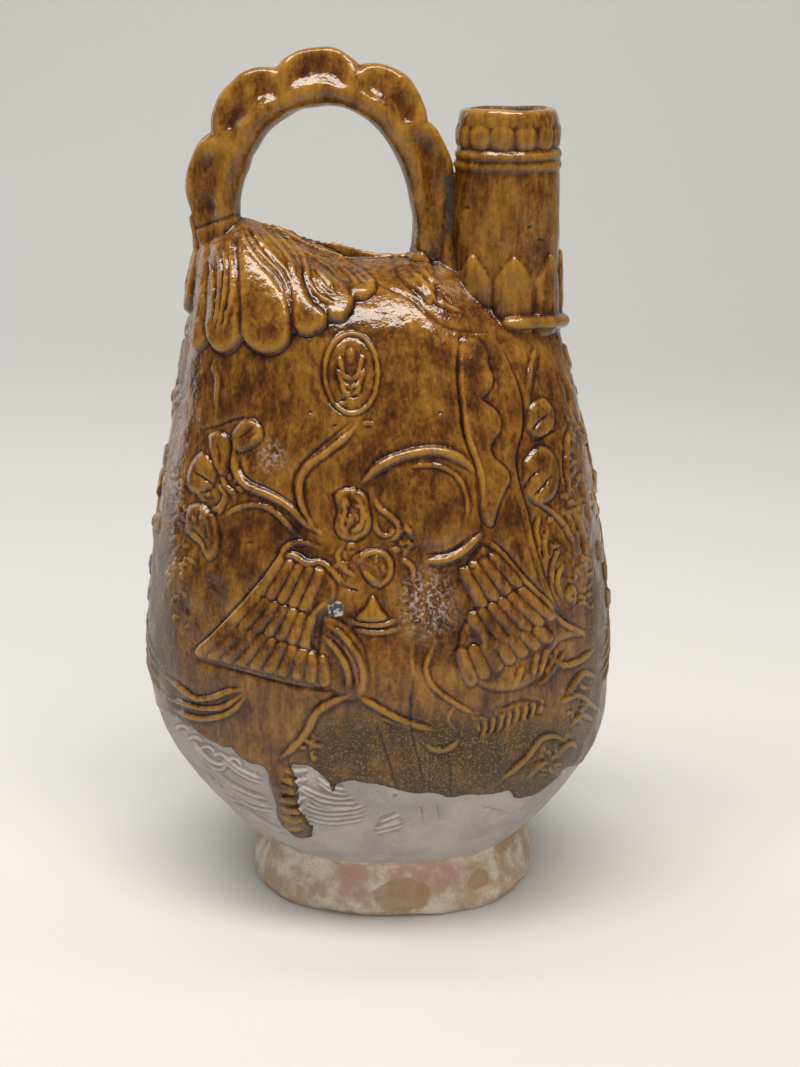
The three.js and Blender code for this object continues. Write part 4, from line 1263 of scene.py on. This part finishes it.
FRONT_EDGE = [
    (-79, 60), (-76, 59), (-73.5, 56.4), (-70, 55), (-66, 51), (-61, 48), (-58.6, 46.2), (-56, 46.5),
    (-53, 43), (-49, 40), (-44, 38.5), (-42, 35), (-41.5, 31), (-39, 22), (-38, 15), (-34, 11),
    (-29, 8.6), (-25.6, 9),
    (-25.2, 13), (-28, 18), (-29.5, 22), (-30.5, 30), (-32, 36), (-33, 39), (-29, 39), (-24, 37),
    (-20.6, 33.6), (-18.4, 31), (-17.6, 27.4), (-16, 30.6), (-14, 31.6), (-10, 32.5), (-5, 31.5),
    (0, 31), (8, 28.5),
    (15, 27), (20, 27.5), (27, 25.5), (33, 26.5), (40, 26.4), (45, 27), (50, 28), (51.6, 25), (56, 25.4),
    (60, 27), (65, 31), (69, 34.6), (72, 38), (78, 43),
]
BACK_EDGE = [
    (96, 49), (108, 52), (122, 46), (136, 50), (146, 44), (152, 34), (158, 27), (163, 29), (167, 42),
    (178, 50), (190, 46), (204, 52), (214, 44), (222, 49), (238, 58), (252, 63), (264, 66),
]


def glaze_reach(points):
    """How far inside the glaze's edge points lie, in millimetres, and below 0 outside it."""
    front = unrolled(seen(FRONT_EDGE))
    back = np.array([[math.radians(turn) * UNROLL_RADIUS, height] for turn, height in BACK_EDGE])
    around = 2 * math.pi * UNROLL_RADIUS
    shifts = [front - [around, 0], back - [around, 0], front, back, front + [around, 0], back + [around, 0]]
    edge = curve(np.vstack(shifts), 1.5)
    edge = edge[(edge[:, 0] > -around) & (edge[:, 0] < around)]
    flat = unrolled(points)
    reach = np.full(len(flat), REACH_LIMIT)
    low = flat[:, 1] < EDGE_TOP
    near, _ = distance(edge, flat[low, 0], flat[low, 1])
    region = np.vstack([edge, [[around, 400], [-around, 400]]])
    reach[low] = np.where(inside(region, flat[low, 0], flat[low, 1]), near, -near)
    return np.minimum(reach, REACH_LIMIT)


def on_drip(points):
    """1 in the middle of the long run of glaze at the left, 0 away from it."""
    drawn = drawn_from(points)
    middle = mix(-37.4, -30, smooth(-drawn[:, 1], -38, -12))
    share = 1 - np.clip(np.abs(drawn[:, 0] - middle) / 6.2, 0, 1) ** 2
    return share * smooth(-drawn[:, 1], -42, -30) * smooth(drawn[:, 1], 6.5, 11) * (points[:, 1] < 0)


# Finishes


# Numbers kept on the mesh's corners for the finish to read. Pooling and shade is how deep in a hollow
# a corner lies: glaze pools darker there, and on the bare slip it paints shade in hollows and highlight on
# crests. Reach is how many millimetres inside the glaze's edge, and the others how much of a mark shows, from
# 0 to 1
MARKS = ("pooling_and_shade", "reach", "dull", "bloom_and_highlight", "chip", "dirt_and_shade", "slip", "stain", "blush")
# Heights between which the glaze grows paler towards the shoulder
SHOULDER_LIGHT = (190, 225)
# Roughness of the glossy glaze from patch to patch, and of bare slip and clay
GLOSS = (0.075, 0.125)
BARE_ROUGHNESS = 0.72
GLAZE_IOR = 1.52


def palette():
    return bpy.context.scene.flask_colours


def pattern(tree, size, stretch=(1, 1, 1), detail=3.0):
    """Uneven numbers from about 0 to 1 whose patches are that many millimetres wide."""
    place = add(tree, "ShaderNodeTexCoord").outputs["Object"]
    scaled = add(tree, "ShaderNodeMapping", {"Vector": place, "Scale": stretch})
    values = {"Vector": scaled, "Scale": 1 / (size * MM), "Detail": detail, "Roughness": 0.55}
    return add(tree, "ShaderNodeTexNoise", values)


def swayed(tree, base, rows):
    """A number that patterns push up and down, each row a size, a stretch, a detail and a strength."""
    for size, stretch, detail, strength in rows:
        uneven = pattern(tree, size, stretch, detail)
        centred = add(tree, "ShaderNodeMath", {0: uneven, 1: 0.5}, operation="SUBTRACT")
        base = add(tree, "ShaderNodeMath", {0: centred, 1: strength, 2: base}, operation="MULTIPLY_ADD")
    return base


def laid_over(tree, base, layers):
    """Colours laid over a base in turn.

    Each row is a number that holds the colour back, the source it follows, the source's values
    between which it comes in, how much of it shows at those, and the colour.
    """
    for held, source, (start, full), (least, most), shade in layers:
        span = {"Value": source, "From Min": start, "From Max": full, "To Min": least, "To Max": most}
        shown = add(tree, "ShaderNodeMapRange", span, interpolation_type="SMOOTHSTEP")
        share = add(tree, "ShaderNodeMath", {0: held, 1: shown}, operation="MULTIPLY")
        base = add(tree, "ShaderNodeMix", {"Factor": share, "A": base, "B": shade}, data_type="RGBA")
    return base


def amber_glaze(tree, marks, shades):
    """Clear amber glaze: ochre on crests, brown in hollows, near black in grooves, streaked down the wall."""
    patches_streaks_and_spots = (
        (14, (1, 1, 1), 3.0, 0.9),
        (5.5, (1, 1, 0.5), 3.0, 0.7),
        (2.5, (1, 1, 0.16), 3.0, 0.75),
        (1.2, (1, 1, 0.6), 2.0, 0.55),
    )
    depth = swayed(tree, marks["pooling_and_shade"], patches_streaks_and_spots)
    place = add(tree, "ShaderNodeTexCoord").outputs["Object"]
    up = add(tree, "ShaderNodeSeparateXYZ", {"Vector": place}).outputs["Z"]
    for source, start, full, change in (
        (pattern(tree, 0.6, (1, 1, 0.5)), 0.58, 0.74, 0.22),
        (up, SHOULDER_LIGHT[0] * MM, SHOULDER_LIGHT[1] * MM, -0.08),
    ):
        span = {"Value": source, "From Min": start, "From Max": full, "To Max": change}
        more = add(tree, "ShaderNodeMapRange", span, interpolation_type="SMOOTHSTEP")
        depth = add(tree, "ShaderNodeMath", {0: depth, 1: more}, operation="ADD")
    ramp = add(tree, "ShaderNodeValToRGB", {"Fac": depth})
    ramp.color_ramp.interpolation = "B_SPLINE"
    stops = ((0.04, shades.thin), (0.4, shades.amber), (0.66, shades.deep), (0.96, shades.pooled))
    while len(ramp.color_ramp.elements) < len(stops):
        ramp.color_ramp.elements.new(0.5)
    for element, (position, shade) in zip(ramp.color_ramp.elements, stops):
        element.position = position
        element.color = shade
    return ramp


def olive_glaze(tree, marks, shades):
    """Dull underfired glaze: olive, mottled dark in patches of 3 mm, with pale specks."""
    layers = (
        (1.0, pattern(tree, 3.2, (1, 1, 0.5)), (0.35, 0.7), (0, 0.85), linear("#271907")),
        (1.0, pattern(tree, 0.8), (0.5, 0.64), (0, 0.75), linear("#8a6c2c")),
        (1.0, marks["pooling_and_shade"], (0.5, 0.95), (0, 1), shades.pooled),
        (1.0, marks["pooling_and_shade"], (0.42, 0.1), (0, 1), linear("#7c5f28")),
    )
    return laid_over(tree, shades.olive, layers)


def bare_slip(tree, marks, shades):
    """Matt off-white slip, greyer in wide patches, smudged; painted shade in scratches, painted highlight on
    crests.
    """
    layers = (
        (1.0, pattern(tree, 16), (0.35, 0.7), (0, 1), linear("#95918f")),
        (1.0, pattern(tree, 2.2), (0.5, 0.75), (0, 0.35), linear("#bdb5ac")),
        (1.0, pattern(tree, 0.8, detail=4.0), (0.6, 0.75), (0, 0.35), linear("#7d7670")),
        # Painted shade darkens the slip in its scratches by their depth, and a painted highlight pales its
        # crests
        (1.0, marks["pooling_and_shade"], (0.48, 0.68), (0, 0.5), linear("#6e6762")),
        (1.0, marks["pooling_and_shade"], (0.42, 0.2), (0, 0.6), linear("#c4bdb4")),
    )
    return laid_over(tree, shades.slip, layers)


def bare_foot(tree, marks, shades):
    """Coarse buff clay with thin slip washed over it, dark grains, pink stains and soft brown patches."""
    ragged = swayed(tree, marks["stain"], ((5, (1, 1, 1), 4.0, 0.9),))
    layers = (
        (1.0, pattern(tree, 7), (0.38, 0.66), (0, 1), linear("#cbbfb0")),
        (1.0, pattern(tree, 0.7, detail=5.0), (0.5, 0.72), (0, 0.45), linear("#7f6650")),
        (marks["blush"], pattern(tree, 4), (0.3, 0.6), (0.25, 0.85), shades.blush),
        (1.0, ragged, (0.36, 0.64), (0, 0.7), shades.stain),
    )
    return laid_over(tree, shades.clay, layers)


def shine(tree, marks):
    """Roughness of the glaze: glossy, and duller where it is underfired, crawled or dirty."""
    clearest, haziest = GLOSS
    span = {"Value": pattern(tree, 6), "From Min": 0.3, "From Max": 0.7}
    span.update({"To Min": clearest, "To Max": haziest})
    rough = add(tree, "ShaderNodeMapRange", span, interpolation_type="SMOOTHSTEP")
    for name, rise in (("dull", 0.26), ("bloom_and_highlight", 0.25), ("dirt_and_shade", 0.4)):
        rough = add(tree, "ShaderNodeMath", {0: marks[name], 1: rise, 2: rough}, operation="MULTIPLY_ADD")
    return rough


def fine_relief(tree, marks, cover):
    """Relief too small for the mesh: orange peel and waves in the glaze, grain on the bare clay."""
    bare = add(tree, "ShaderNodeMath", {0: 1.0, 1: cover}, operation="SUBTRACT")
    dull = add(tree, "ShaderNodeMath", {0: cover, 1: marks["dull"]}, operation="MULTIPLY")
    crawl_and_highlight = add(tree, "ShaderNodeMath", {0: cover, 1: marks["bloom_and_highlight"]}, operation="MULTIPLY")
    height = 0.0
    for where, size, stretch, detail, rise in (
        (cover, 1.1, (1, 1, 1), 2.0, 0.09),
        (cover, 2.6, (1, 1, 1), 2.0, 0.26),
        (cover, 7, (1, 1, 1), 1.0, 0.3),
        (dull, 0.8, (1, 1, 1), 3.0, 0.35),
        (crawl_and_highlight, 0.9, (1, 1, 1), 2.0, 0.5),
        (bare, 0.6, (1, 1, 1), 4.0, 0.22),
        (bare, 3, (1, 1, 0.4), 3.0, 0.3),
    ):
        grain = pattern(tree, size, stretch, detail)
        part = add(tree, "ShaderNodeMath", {0: where, 1: grain}, operation="MULTIPLY")
        height = add(tree, "ShaderNodeMath", {0: part, 1: rise, 2: height}, operation="MULTIPLY_ADD")
    return add(tree, "ShaderNodeBump", {"Strength": 1.0, "Distance": MM, "Height": height})


def glazed_ware():
    """Amber lead glaze over white slip on buff earthenware, fired once, and bare at the foot.

    The glaze is glossy and clear amber, and dull olive where it was underfired low at the right.
    Below its edge the slip is a matt off-white, and the foot is coarse buff clay with stains.
    """
    material = bpy.data.materials.new("amber_lead_glaze_on_slipped_earthenware")
    material.use_nodes = True
    tree = material.node_tree
    tree.nodes.clear()
    shades = palette()
    marks = {
        name: add(tree, "ShaderNodeAttribute", attribute_name=name, attribute_type="GEOMETRY").outputs["Fac"]
        for name in MARKS
    }
    broken_up = (("dull", 9, 3.0, 0.2, 0.5), ("bloom_and_highlight", 1.3, 4.0, 0.47, 0.6))
    for name, size, detail, start, full in broken_up:
        span = {"Value": pattern(tree, size, detail=detail), "From Min": start, "From Max": full}
        shown = add(tree, "ShaderNodeMapRange", span, interpolation_type="SMOOTHSTEP")
        marks[name] = add(tree, "ShaderNodeMath", {0: marks[name], 1: shown}, operation="MULTIPLY")

    # The glaze's edge wavers by about 1 mm, with a dark brown line where it thickens
    reach = swayed(tree, marks["reach"], ((2.2, (1, 1, 1), 3.0, 1.6),))
    chip_span = {"Value": marks["chip"], "From Min": 0.45, "From Max": 0.55}
    broken = add(tree, "ShaderNodeMapRange", chip_span, interpolation_type="SMOOTHSTEP")
    sound = add(tree, "ShaderNodeMath", {0: 1.0, 1: broken}, operation="SUBTRACT")
    edge_span = {"Value": reach, "From Min": -0.12, "From Max": 0.12}
    glazed = add(tree, "ShaderNodeMapRange", edge_span, interpolation_type="SMOOTHSTEP")
    cover = add(tree, "ShaderNodeMath", {0: glazed, 1: sound}, operation="MULTIPLY")

    amber, olive = amber_glaze(tree, marks, shades), olive_glaze(tree, marks, shades)
    glaze_layers = (
        (marks["dull"], 1.0, (0, 1), (0, 0.85), olive),
        # Whitish lavender over those patches: partly weathered bloom, partly painted highlight for broken
        # reflections
        (marks["bloom_and_highlight"], 1.0, (0, 1), (0, 0.7), linear("#b3a199")),
        (1.0, reach, (1.5, 0.2), (0, 0.75), shades.pooled),
        # Near black in the slit beside the spout: dirt and painted shade
        (marks["dirt_and_shade"], pattern(tree, 2), (0.3, 0.5), (0, 1), linear("#2b2721")),
    )
    slipped = swayed(tree, marks["slip"], ((4, (1, 1, 1), 3.0, 1.1),))
    bare_layers = (
        (1.0, slipped, (0.42, 0.58), (0, 1), bare_slip(tree, marks, shades)),
        # Dark in the slit beside the spout where it is bare: dirt and painted shade
        (marks["dirt_and_shade"], 1.0, (0, 1), (0, 1), linear("#37322b")),
    )
    ware_layers = (
        (cover, 1.0, (0, 1), (0, 1), laid_over(tree, amber, glaze_layers)),
        (broken, pattern(tree, 1.6), (0.4, 0.5), (0, 1), linear("#3a3a3c")),
    )
    body = laid_over(tree, laid_over(tree, bare_foot(tree, marks, shades), bare_layers), ware_layers)
    roughness = {"Factor": cover, "A": BARE_ROUGHNESS, "B": shine(tree, marks)}
    rough = add(tree, "ShaderNodeMix", roughness, data_type="FLOAT")
    relief = fine_relief(tree, marks, cover)
    finish = {"Base Color": body, "Roughness": rough, "Normal": relief, "IOR": GLAZE_IOR}
    surface = add(tree, "ShaderNodeBsdfPrincipled", finish)
    add(tree, "ShaderNodeOutputMaterial", {"Surface": surface})
    return material


def matt_paper(shade):
    """Seamless backdrop paper: matt, even, without a sheen."""
    material = bpy.data.materials.new("matt_backdrop_paper")
    material.use_nodes = True
    surface = material.node_tree.nodes["Principled BSDF"]
    surface.inputs["Base Color"].default_value = shade
    surface.inputs["Roughness"].default_value = 0.9
    surface.inputs["Specular IOR Level"].default_value = 0.2
    return material


# Operators


RAW_PARTS = ("clay_body", "clay_foot", "clay_handle", "clay_web", "clay_spout", "clay_lappets", "clay_leaves",
             "clay_flange")


class FLASK_OT_body(bpy.types.Operator):
    """Throw the body and its ring foot"""

    bl_idname = "flask.body"
    bl_label = "Body and foot"

    def execute(self, context):
        body_part()
        foot_part()
        return {"FINISHED"}


class FLASK_OT_handle(bpy.types.Operator):
    """Pull and pinch the loop handle"""

    bl_idname = "flask.handle"
    bl_label = "Handle"

    def execute(self, context):
        handle_part()
        web_part()
        return {"FINISHED"}


class FLASK_OT_spout(bpy.types.Operator):
    """Turn the spout and set its lappets, leaves and flange"""

    bl_idname = "flask.spout"
    bl_label = "Spout"

    def execute(self, context):
        sizes = context.scene.flask_sizes
        run_tree("clay_spout", turned_tree(SPOUT_PROFILE, SPOUT_WIDEST), {})
        rows = (
            ("clay_lappets", lappet_part(), sizes.lappets, LAPPET, LAPPET["height"]),
            ("clay_leaves", leaf_part(sizes.leaves), sizes.leaves, LEAF, LEAF["base"]),
        )
        for name, piece, count, form, height in rows:
            values = {"Piece": piece, "Count": count, "Radius": form["radius"] * MM}
            values["Turn"] = math.radians(form["turn"])
            run_tree(name, ring_tree(), {**values, "Axis": (SPOUT_X * MM, 0, height * MM)})
            remove(piece)
        flange_part()
        return {"FINISHED"}


class FLASK_OT_join(bpy.types.Operator):
    """Lute the parts together into one skin of clay"""

    bl_idname = "flask.join"
    bl_label = "Join the clay"

    def execute(self, context):
        work = bmesh.new()
        for name in RAW_PARTS:
            part = bpy.data.objects[name]
            work.from_mesh(part.data)
            remove(part)
        mesh = bpy.data.meshes.new("flask_ware")
        work.to_mesh(mesh)
        work.free()
        ware = bpy.data.objects.new("flask_ware", mesh)
        context.scene.collection.objects.link(ware)
        remesh = ware.modifiers.new("join", "REMESH")
        remesh.mode = "VOXEL"
        remesh.voxel_size = context.scene.flask_sizes.grain
        ware = plain_mesh(ware, "flask_ware")
        if len(ware.data.vertices) < 1000:
            raise RuntimeError("the parts didn't join")
        self.smooth_joins(ware.data)
        return {"FINISHED"}

    def smooth_joins(self, mesh):
        """Fills sharp inner corners as wet slip does, and takes the cells' stairs off the rest."""
        edges, places = neighbours_of(mesh), places_of(mesh)
        calm = evened(places, edges, 2)
        wide = evened(calm, edges, 14)
        hollow = ((wide - calm) * normals_of(mesh)).sum(1)
        collar = (np.hypot(places[:, 0] - SPOUT_X, places[:, 1]) < 23) & (places[:, 2] > 204)
        fill = (smooth(hollow, 0.12, 0.5) * ~collar)[:, None]
        fill = evened(fill, edges, 4)
        move_to(mesh, evened(mix(calm, wide, fill), edges, 1))


class FLASK_OT_carve(bpy.types.Operator):
    """Raise the carving on the four sides"""

    bl_idname = "flask.carve"
    bl_label = "Carving"

    def execute(self, context):
        sizes = context.scene.flask_sizes
        mesh = bpy.data.objects["flask_ware"].data
        places, normals, edges = places_of(mesh), normals_of(mesh), neighbours_of(mesh)
        uneven = wander(places, 34, 3) + 0.4 * wander(places, 13, 4) + 0.14 * wander(places, 6, 5)
        pinched = smooth(places[:, 2], 236, 246) * (places[:, 0] < 24)
        uneven += pinched * (0.9 * wander(places, 22, 6) + 0.4 * wander(places, 9, 7))
        places = places + normals * (uneven * sizes.waver / MM)[:, None]
        places = places - [0, 0, 1] * (SADDLE_SAG * self.sunk(places))[:, None]
        height = np.zeros(len(places))
        left = np.ones(len(places))
        drawings = {
            "front": front_drawing(),
            "back": back_drawing(),
            "left": side_drawing(True),
            "right": side_drawing(False),
        }
        for view, field in drawings.items():
            share = left * self.facing(places, normals, view)
            left = left - share
            flat_top = smooth(normals[:, 2], 0.3, 0.7) if view == "back" else 0
            height += share * (1 - flat_top) * sample(field, drawn_from(places, view))
        height *= 1 - 0.6 * smooth(normals[:, 2], 0.75, 0.97)
        carved = places + normals * (height * sizes.carving)[:, None]
        foot = smooth(places[:, 2], 5, 0)
        wear = foot * (0.5 + 0.5 * wander(places, 13, 8)) * 0.9
        carved -= normals * [1, 1, 0] * wear[:, None]
        carved[:, 2] = np.maximum(carved[:, 2], 0)
        move_to(mesh, carved)
        self.mark_pools_and_shade(mesh, carved, edges)
        return {"FINISHED"}

    def sunk(self, places):
        """1 on the saddle behind the handle, falling to 0 round it."""
        x, y, z = places.T
        fall = smooth(y, -3, 12) * smooth(z, 222, 231) * smooth(-z, -246, -240)
        return fall * (smooth(x, -30, -21) * smooth(-x, -10, -2))

    def facing(self, places, normals, view):
        """1 where the wall looks at a view's eye, falling to 0 as it turns away."""
        there = turned(places, view)
        sight = EYE - there
        towards = (turned(normals, view) * sight).sum(1) / np.linalg.norm(sight, axis=1)
        return smooth(towards, 0.14, 0.36) * (there[:, 1] < 0)

    def mark_pools_and_shade(self, mesh, places, edges):
        """Keeps how deep in a hollow each corner lies: less on crests and more in grooves."""
        normals = normals_of(mesh)
        fine = ((evened(places, edges, 5) - places) * normals).sum(1)
        broad = ((evened(places, edges, 34) - places) * normals).sum(1)
        open_wall = np.median(broad)
        depth = OPEN_WALL + fine * np.where(fine > 0, FINE_HOLLOW, FINE_CREST)
        depth = depth + (broad - open_wall) * BROAD_HOLLOW
        # This depth darkens the glaze where it pools, and paints shade and highlight onto the bare slip
        store(mesh, "pooling_and_shade", np.clip(evened(depth[:, None], edges, 1)[:, 0], 0, 1))


class FLASK_OT_glaze(bpy.types.Operator):
    """Dip the flask in glaze, hollow it and give it its finish"""

    bl_idname = "flask.glaze"
    bl_label = "Glaze and hollow"

    def execute(self, context):
        sizes = context.scene.flask_sizes
        ware = bpy.data.objects["flask_ware"]
        mesh = ware.data
        places, normals = places_of(mesh), normals_of(mesh)
        reach = glaze_reach(places)
        coat = np.where(reach > 0, 1 - np.exp(-np.clip(reach, 0, REACH_LIMIT) / COAT_SLOPE), 0)
        coat += ROLL["height"] * np.exp(-(((reach - ROLL["inset"]) / ROLL["width"]) ** 2))
        drip = on_drip(places)
        down = drawn_from(places)[:, 1]
        ripple = 1 + RIPPLE["height"] * np.cos(down * 2 * math.pi / RIPPLE["length"])
        thick = coat * sizes.glaze / MM + (reach > 0) * drip * ripple * sizes.drip / MM
        move_to(mesh, places + normals * thick[:, None])
        ware = self.thinned(ware, sizes.triangles)
        ware = self.hollowed(ware)
        self.mark_finish(ware.data)
        ware.data.materials.clear()
        ware.data.materials.append(glazed_ware())
        ware.data.polygons.foreach_set("use_smooth", np.ones(len(ware.data.polygons), bool))
        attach(ware, "root")
        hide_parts("flask")
        return {"FINISHED"}

    def thinned(self, ware, most):
        """Leaves at most that many triangles, the most where the surface bends."""
        fewer = ware.modifiers.new("thin", "DECIMATE")
        fewer.ratio = most / (2 * len(ware.data.polygons))
        fewer.use_collapse_triangulate = True
        return plain_mesh(ware, "flask_ware")

    def hollowed(self, ware):
        """Takes the hollow and the spout's bore out of the solid form."""
        low, high = [18, 20, 24, 28, 34], [214, 217, 219.5, 221.5, 223]
        heights = np.concatenate([low, np.linspace(42, 210, 22), high])
        hollow = loft("hollow", wall_rings(HOLLOW_ROWS, heights, 72))
        turn = np.linspace(0, 2 * math.pi, 64, endpoint=False)
        rings = [
            np.stack([SPOUT_X + radius * np.cos(turn), radius * np.sin(turn), np.full(len(turn), z)], 1)
            for z, radius in BORE_PROFILE
        ]
        bore = loft("bore", rings)
        for cutter in (hollow, bore):
            cut = ware.modifiers.new(cutter.name, "BOOLEAN")
            cut.operation = "DIFFERENCE"
            cut.solver = "MANIFOLD"
            cut.object = cutter
        ware = plain_mesh(ware, "flask_ware")
        remove(hollow)
        remove(bore)
        return ware

    def mark_finish(self, mesh):
        """Keeps the numbers that the finish reads, from each corner's place."""
        places = places_of(mesh)
        drawn = drawn_from(places)
        front = places[:, 1] < 0
        x, z = drawn[:, 0], drawn[:, 1]
        reach = glaze_reach(places)
        foot = foot_share(places)
        up = places[:, 2]
        inner = (shell(places) < INNER_SHARE) & (up > INNER_LOW) & (up < INNER_HIGH) & ~near_spout(places)
        bore = (np.hypot(places[:, 0] - SPOUT_X, places[:, 1]) < BORE_REACH) & (up > BORE_FOOT)
        reach[inner] = -REACH_LIMIT
        reach[bore & (up < BORE_BARE)] = -REACH_LIMIT
        store(mesh, "reach", reach)
        pooling_and_shade = read(mesh, "pooling_and_shade")
        pooling_and_shade[inner | bore] = 0.5
        store(mesh, "pooling_and_shade", pooling_and_shade)
        low_right = smooth(-z, -66, -50) * smooth(x, -34, -16)
        edge_right = smooth(x - 0.12 * (z - 60), 66, 76) * smooth(-z, -190, -150)
        edge_left = smooth(-x - 0.1 * (z - 60), 68, 76) * smooth(z, 60, 80) * smooth(-z, -205, -180)
        sides = smooth(np.abs(unrolled(places)[:, 0]), 108, 130) * 0.75
        dull = np.where(front, np.maximum(low_right, (edge_right + edge_left) * 0.8), 0) + sides
        store(mesh, "dull", np.clip(dull, 0, 1))
        # Two whitish patches, partly weathered bloom and partly painted highlight: one right of the dish, a
        # small round one at the left
        crawl_and_highlight = np.exp(-(((x - 18) / 9) ** 2 + ((z - 104) / 12) ** 2) ** 1.5)
        ring = np.exp(-(((x + 38) / 5) ** 2 + ((z - 160) / 6) ** 2) ** 2) * 0.55
        store(mesh, "bloom_and_highlight", np.where(front, crawl_and_highlight + ring, 0))
        chipped = (((x + 15.6) / 3.0) ** 2 + ((z - 102) / 3.4) ** 2 < 1) & front
        store(mesh, "chip", np.where(chipped & (shell(places) > 0.9), 1.0, 0.0))
        # Near black down the slit between the handle's right leg and the spout: partly grey dirt, partly
        # painted shade of the gap
        slit = np.exp(-(((x - 24.6) / 1.6) ** 2)) * smooth(z, 236, 241) * smooth(-z, -262, -257)
        store(mesh, "dirt_and_shade", np.clip(slit * 1.2, 0, 1) * (places[:, 0] > 15))
        store(mesh, "slip", np.clip(1.15 - 1.0 * foot, 0, 1))
        store(mesh, "stain", patches(places, ((9, 9, 13, 7), (36.6, 11.6, 4.5, 4), (48, 21, 7, 5))) * foot)
        store(mesh, "blush", patches(places, ((-9, 14, 5, 7), (27.6, 15, 3.4, 5), (20, 16, 14, 6))) * foot)


def near_spout(places):
    """Whether places lie on the spout or close beside it."""
    return (np.hypot(places[:, 0] - SPOUT_X, places[:, 1]) < 24) & (places[:, 2] > 200)


def foot_share(places):
    """1 on the ring foot, 0 on the body above it."""
    return smooth(-places[:, 2], -25, -20)


def patches(places, rows):
    """1 in the middle of ovals on the front, each row an x, a height, a half width and a half height."""
    share = np.zeros(len(places))
    for x, z, half_x, half_z in rows:
        off = ((places[:, 0] - x) / half_x) ** 2 + ((places[:, 2] - z) / half_z) ** 2
        share = np.maximum(share, np.clip(1.3 - off, 0, 1))
    return share * (places[:, 1] < 0)


class FLASK_OT_stage(bpy.types.Operator):
    """Set the pale floor, the soft lights and the camera"""

    bl_idname = "flask.stage"
    bl_label = "Stage"

    def execute(self, context):
        context.scene.view_settings.view_transform = "Standard"
        self.floor()
        self.lights(context)
        self.camera(context)
        return {"FINISHED"}

    def floor(self):
        """One pale sheet that runs along the floor and curves up behind."""
        bend = np.radians(np.linspace(0, 90, 16))
        radius = BACKDROP["radius"]
        start = BACKDROP["start"]
        y = np.concatenate([[BACKDROP["front"], 500], start + radius * np.sin(bend), [start + radius]])
        z = np.concatenate([[0, 0], radius - radius * np.cos(bend), [BACKDROP["top"]]])
        points = [(side * BACKDROP["half_width"], a, b) for a, b in zip(y, z) for side in (-1, 1)]
        faces = [(2 * i, 2 * i + 1, 2 * i + 3, 2 * i + 2) for i in range(len(y) - 1)]
        sheet = new_object("floor", points, faces)
        sheet.data.polygons.foreach_set("use_smooth", np.ones(len(faces), bool))
        sheet.data.materials.append(matt_paper(palette().floor))

    def lights(self, context):
        """Soft panels, of which the glaze mirrors only the ceiling's and the window's."""
        world = bpy.data.worlds.new("soft_room")
        world.use_nodes = True
        background = world.node_tree.nodes["Background"]
        background.inputs["Color"].default_value = linear("#e6eaf0")
        background.inputs["Strength"].default_value = 0.18
        context.scene.world = world
        flask, backdrop = (0, 0, 0.14), (0, 1.7, 0.9)
        rows = (
            ("ceiling_panel", (-0.05, -0.3, 1.2), (1.1, 0.34), 15, "#fffaf2", flask, True),
            ("window_left", (-1.3, 0.7, 0.6), (0.8, 1.4), 6, "#f2f5ff", flask, True),
            ("front_fill", (0.9, -2.5, 1.3), (3.0, 2.2), 40, "#fff8ee", flask, False),
            ("backdrop_wash", (0, 0.5, 2.6), (2.4, 0.6), 22, "#ffffff", backdrop, False),
        )
        for name, place, size, power, shade, target, mirrored in rows:
            data = bpy.data.lights.new(name, "AREA")
            data.shape = "RECTANGLE"
            data.size, data.size_y = size
            data.energy = power
            data.color = linear(shade)[:3]
            lamp = bpy.data.objects.new(name, data)
            lamp.location = place
            way = Vector(target) - Vector(place)
            lamp.rotation_euler = way.to_track_quat("-Z", "Y").to_euler()
            lamp.visible_glossy = mirrored
            context.scene.collection.objects.link(lamp)

    def camera(self, context):
        data = bpy.data.cameras.new("camera")
        data.lens = FOCAL_PIXELS / PHOTO_HEIGHT * SENSOR
        data.sensor_width = SENSOR
        data.clip_start = 0.01
        made = bpy.data.objects.new("camera", data)
        made.location = EYE * MM
        made.rotation_euler = (math.radians(CAMERA_PITCH), 0, 0)
        context.scene.collection.objects.link(made)
        context.scene.camera = made


class FLASK_PT_sidebar(bpy.types.Panel):
    """Sizes, colours and steps of the flask"""

    bl_idname = "FLASK_PT_sidebar"
    bl_label = "Flask"
    bl_space_type = "VIEW_3D"
    bl_region_type = "UI"
    bl_category = "Flask"

    def draw(self, context):
        for group in (context.scene.flask_sizes, context.scene.flask_colours):
            for name in group.__annotations__:
                self.layout.prop(group, name)
        for step in STEPS:
            self.layout.operator(step.bl_idname)


STEPS = (FLASK_OT_body, FLASK_OT_handle, FLASK_OT_spout, FLASK_OT_join, FLASK_OT_carve, FLASK_OT_glaze,
         FLASK_OT_stage)
CLASSES = (FlaskSizes, FlaskColours, *STEPS, FLASK_PT_sidebar)


def register():
    for made in CLASSES:
        bpy.utils.register_class(made)
    bpy.types.Scene.flask_sizes = PointerProperty(type=FlaskSizes)
    bpy.types.Scene.flask_colours = PointerProperty(type=FlaskColours)


def unregister():
    del bpy.types.Scene.flask_colours
    del bpy.types.Scene.flask_sizes
    for made in reversed(CLASSES):
        bpy.utils.unregister_class(made)


def main():
    register()
    bpy.ops.flask.body()
    bpy.ops.flask.handle()
    bpy.ops.flask.spout()
    bpy.ops.flask.join()
    bpy.ops.flask.carve()
    bpy.ops.flask.glaze()
    bpy.ops.flask.stage()


if __name__ == "__main__":
    main()
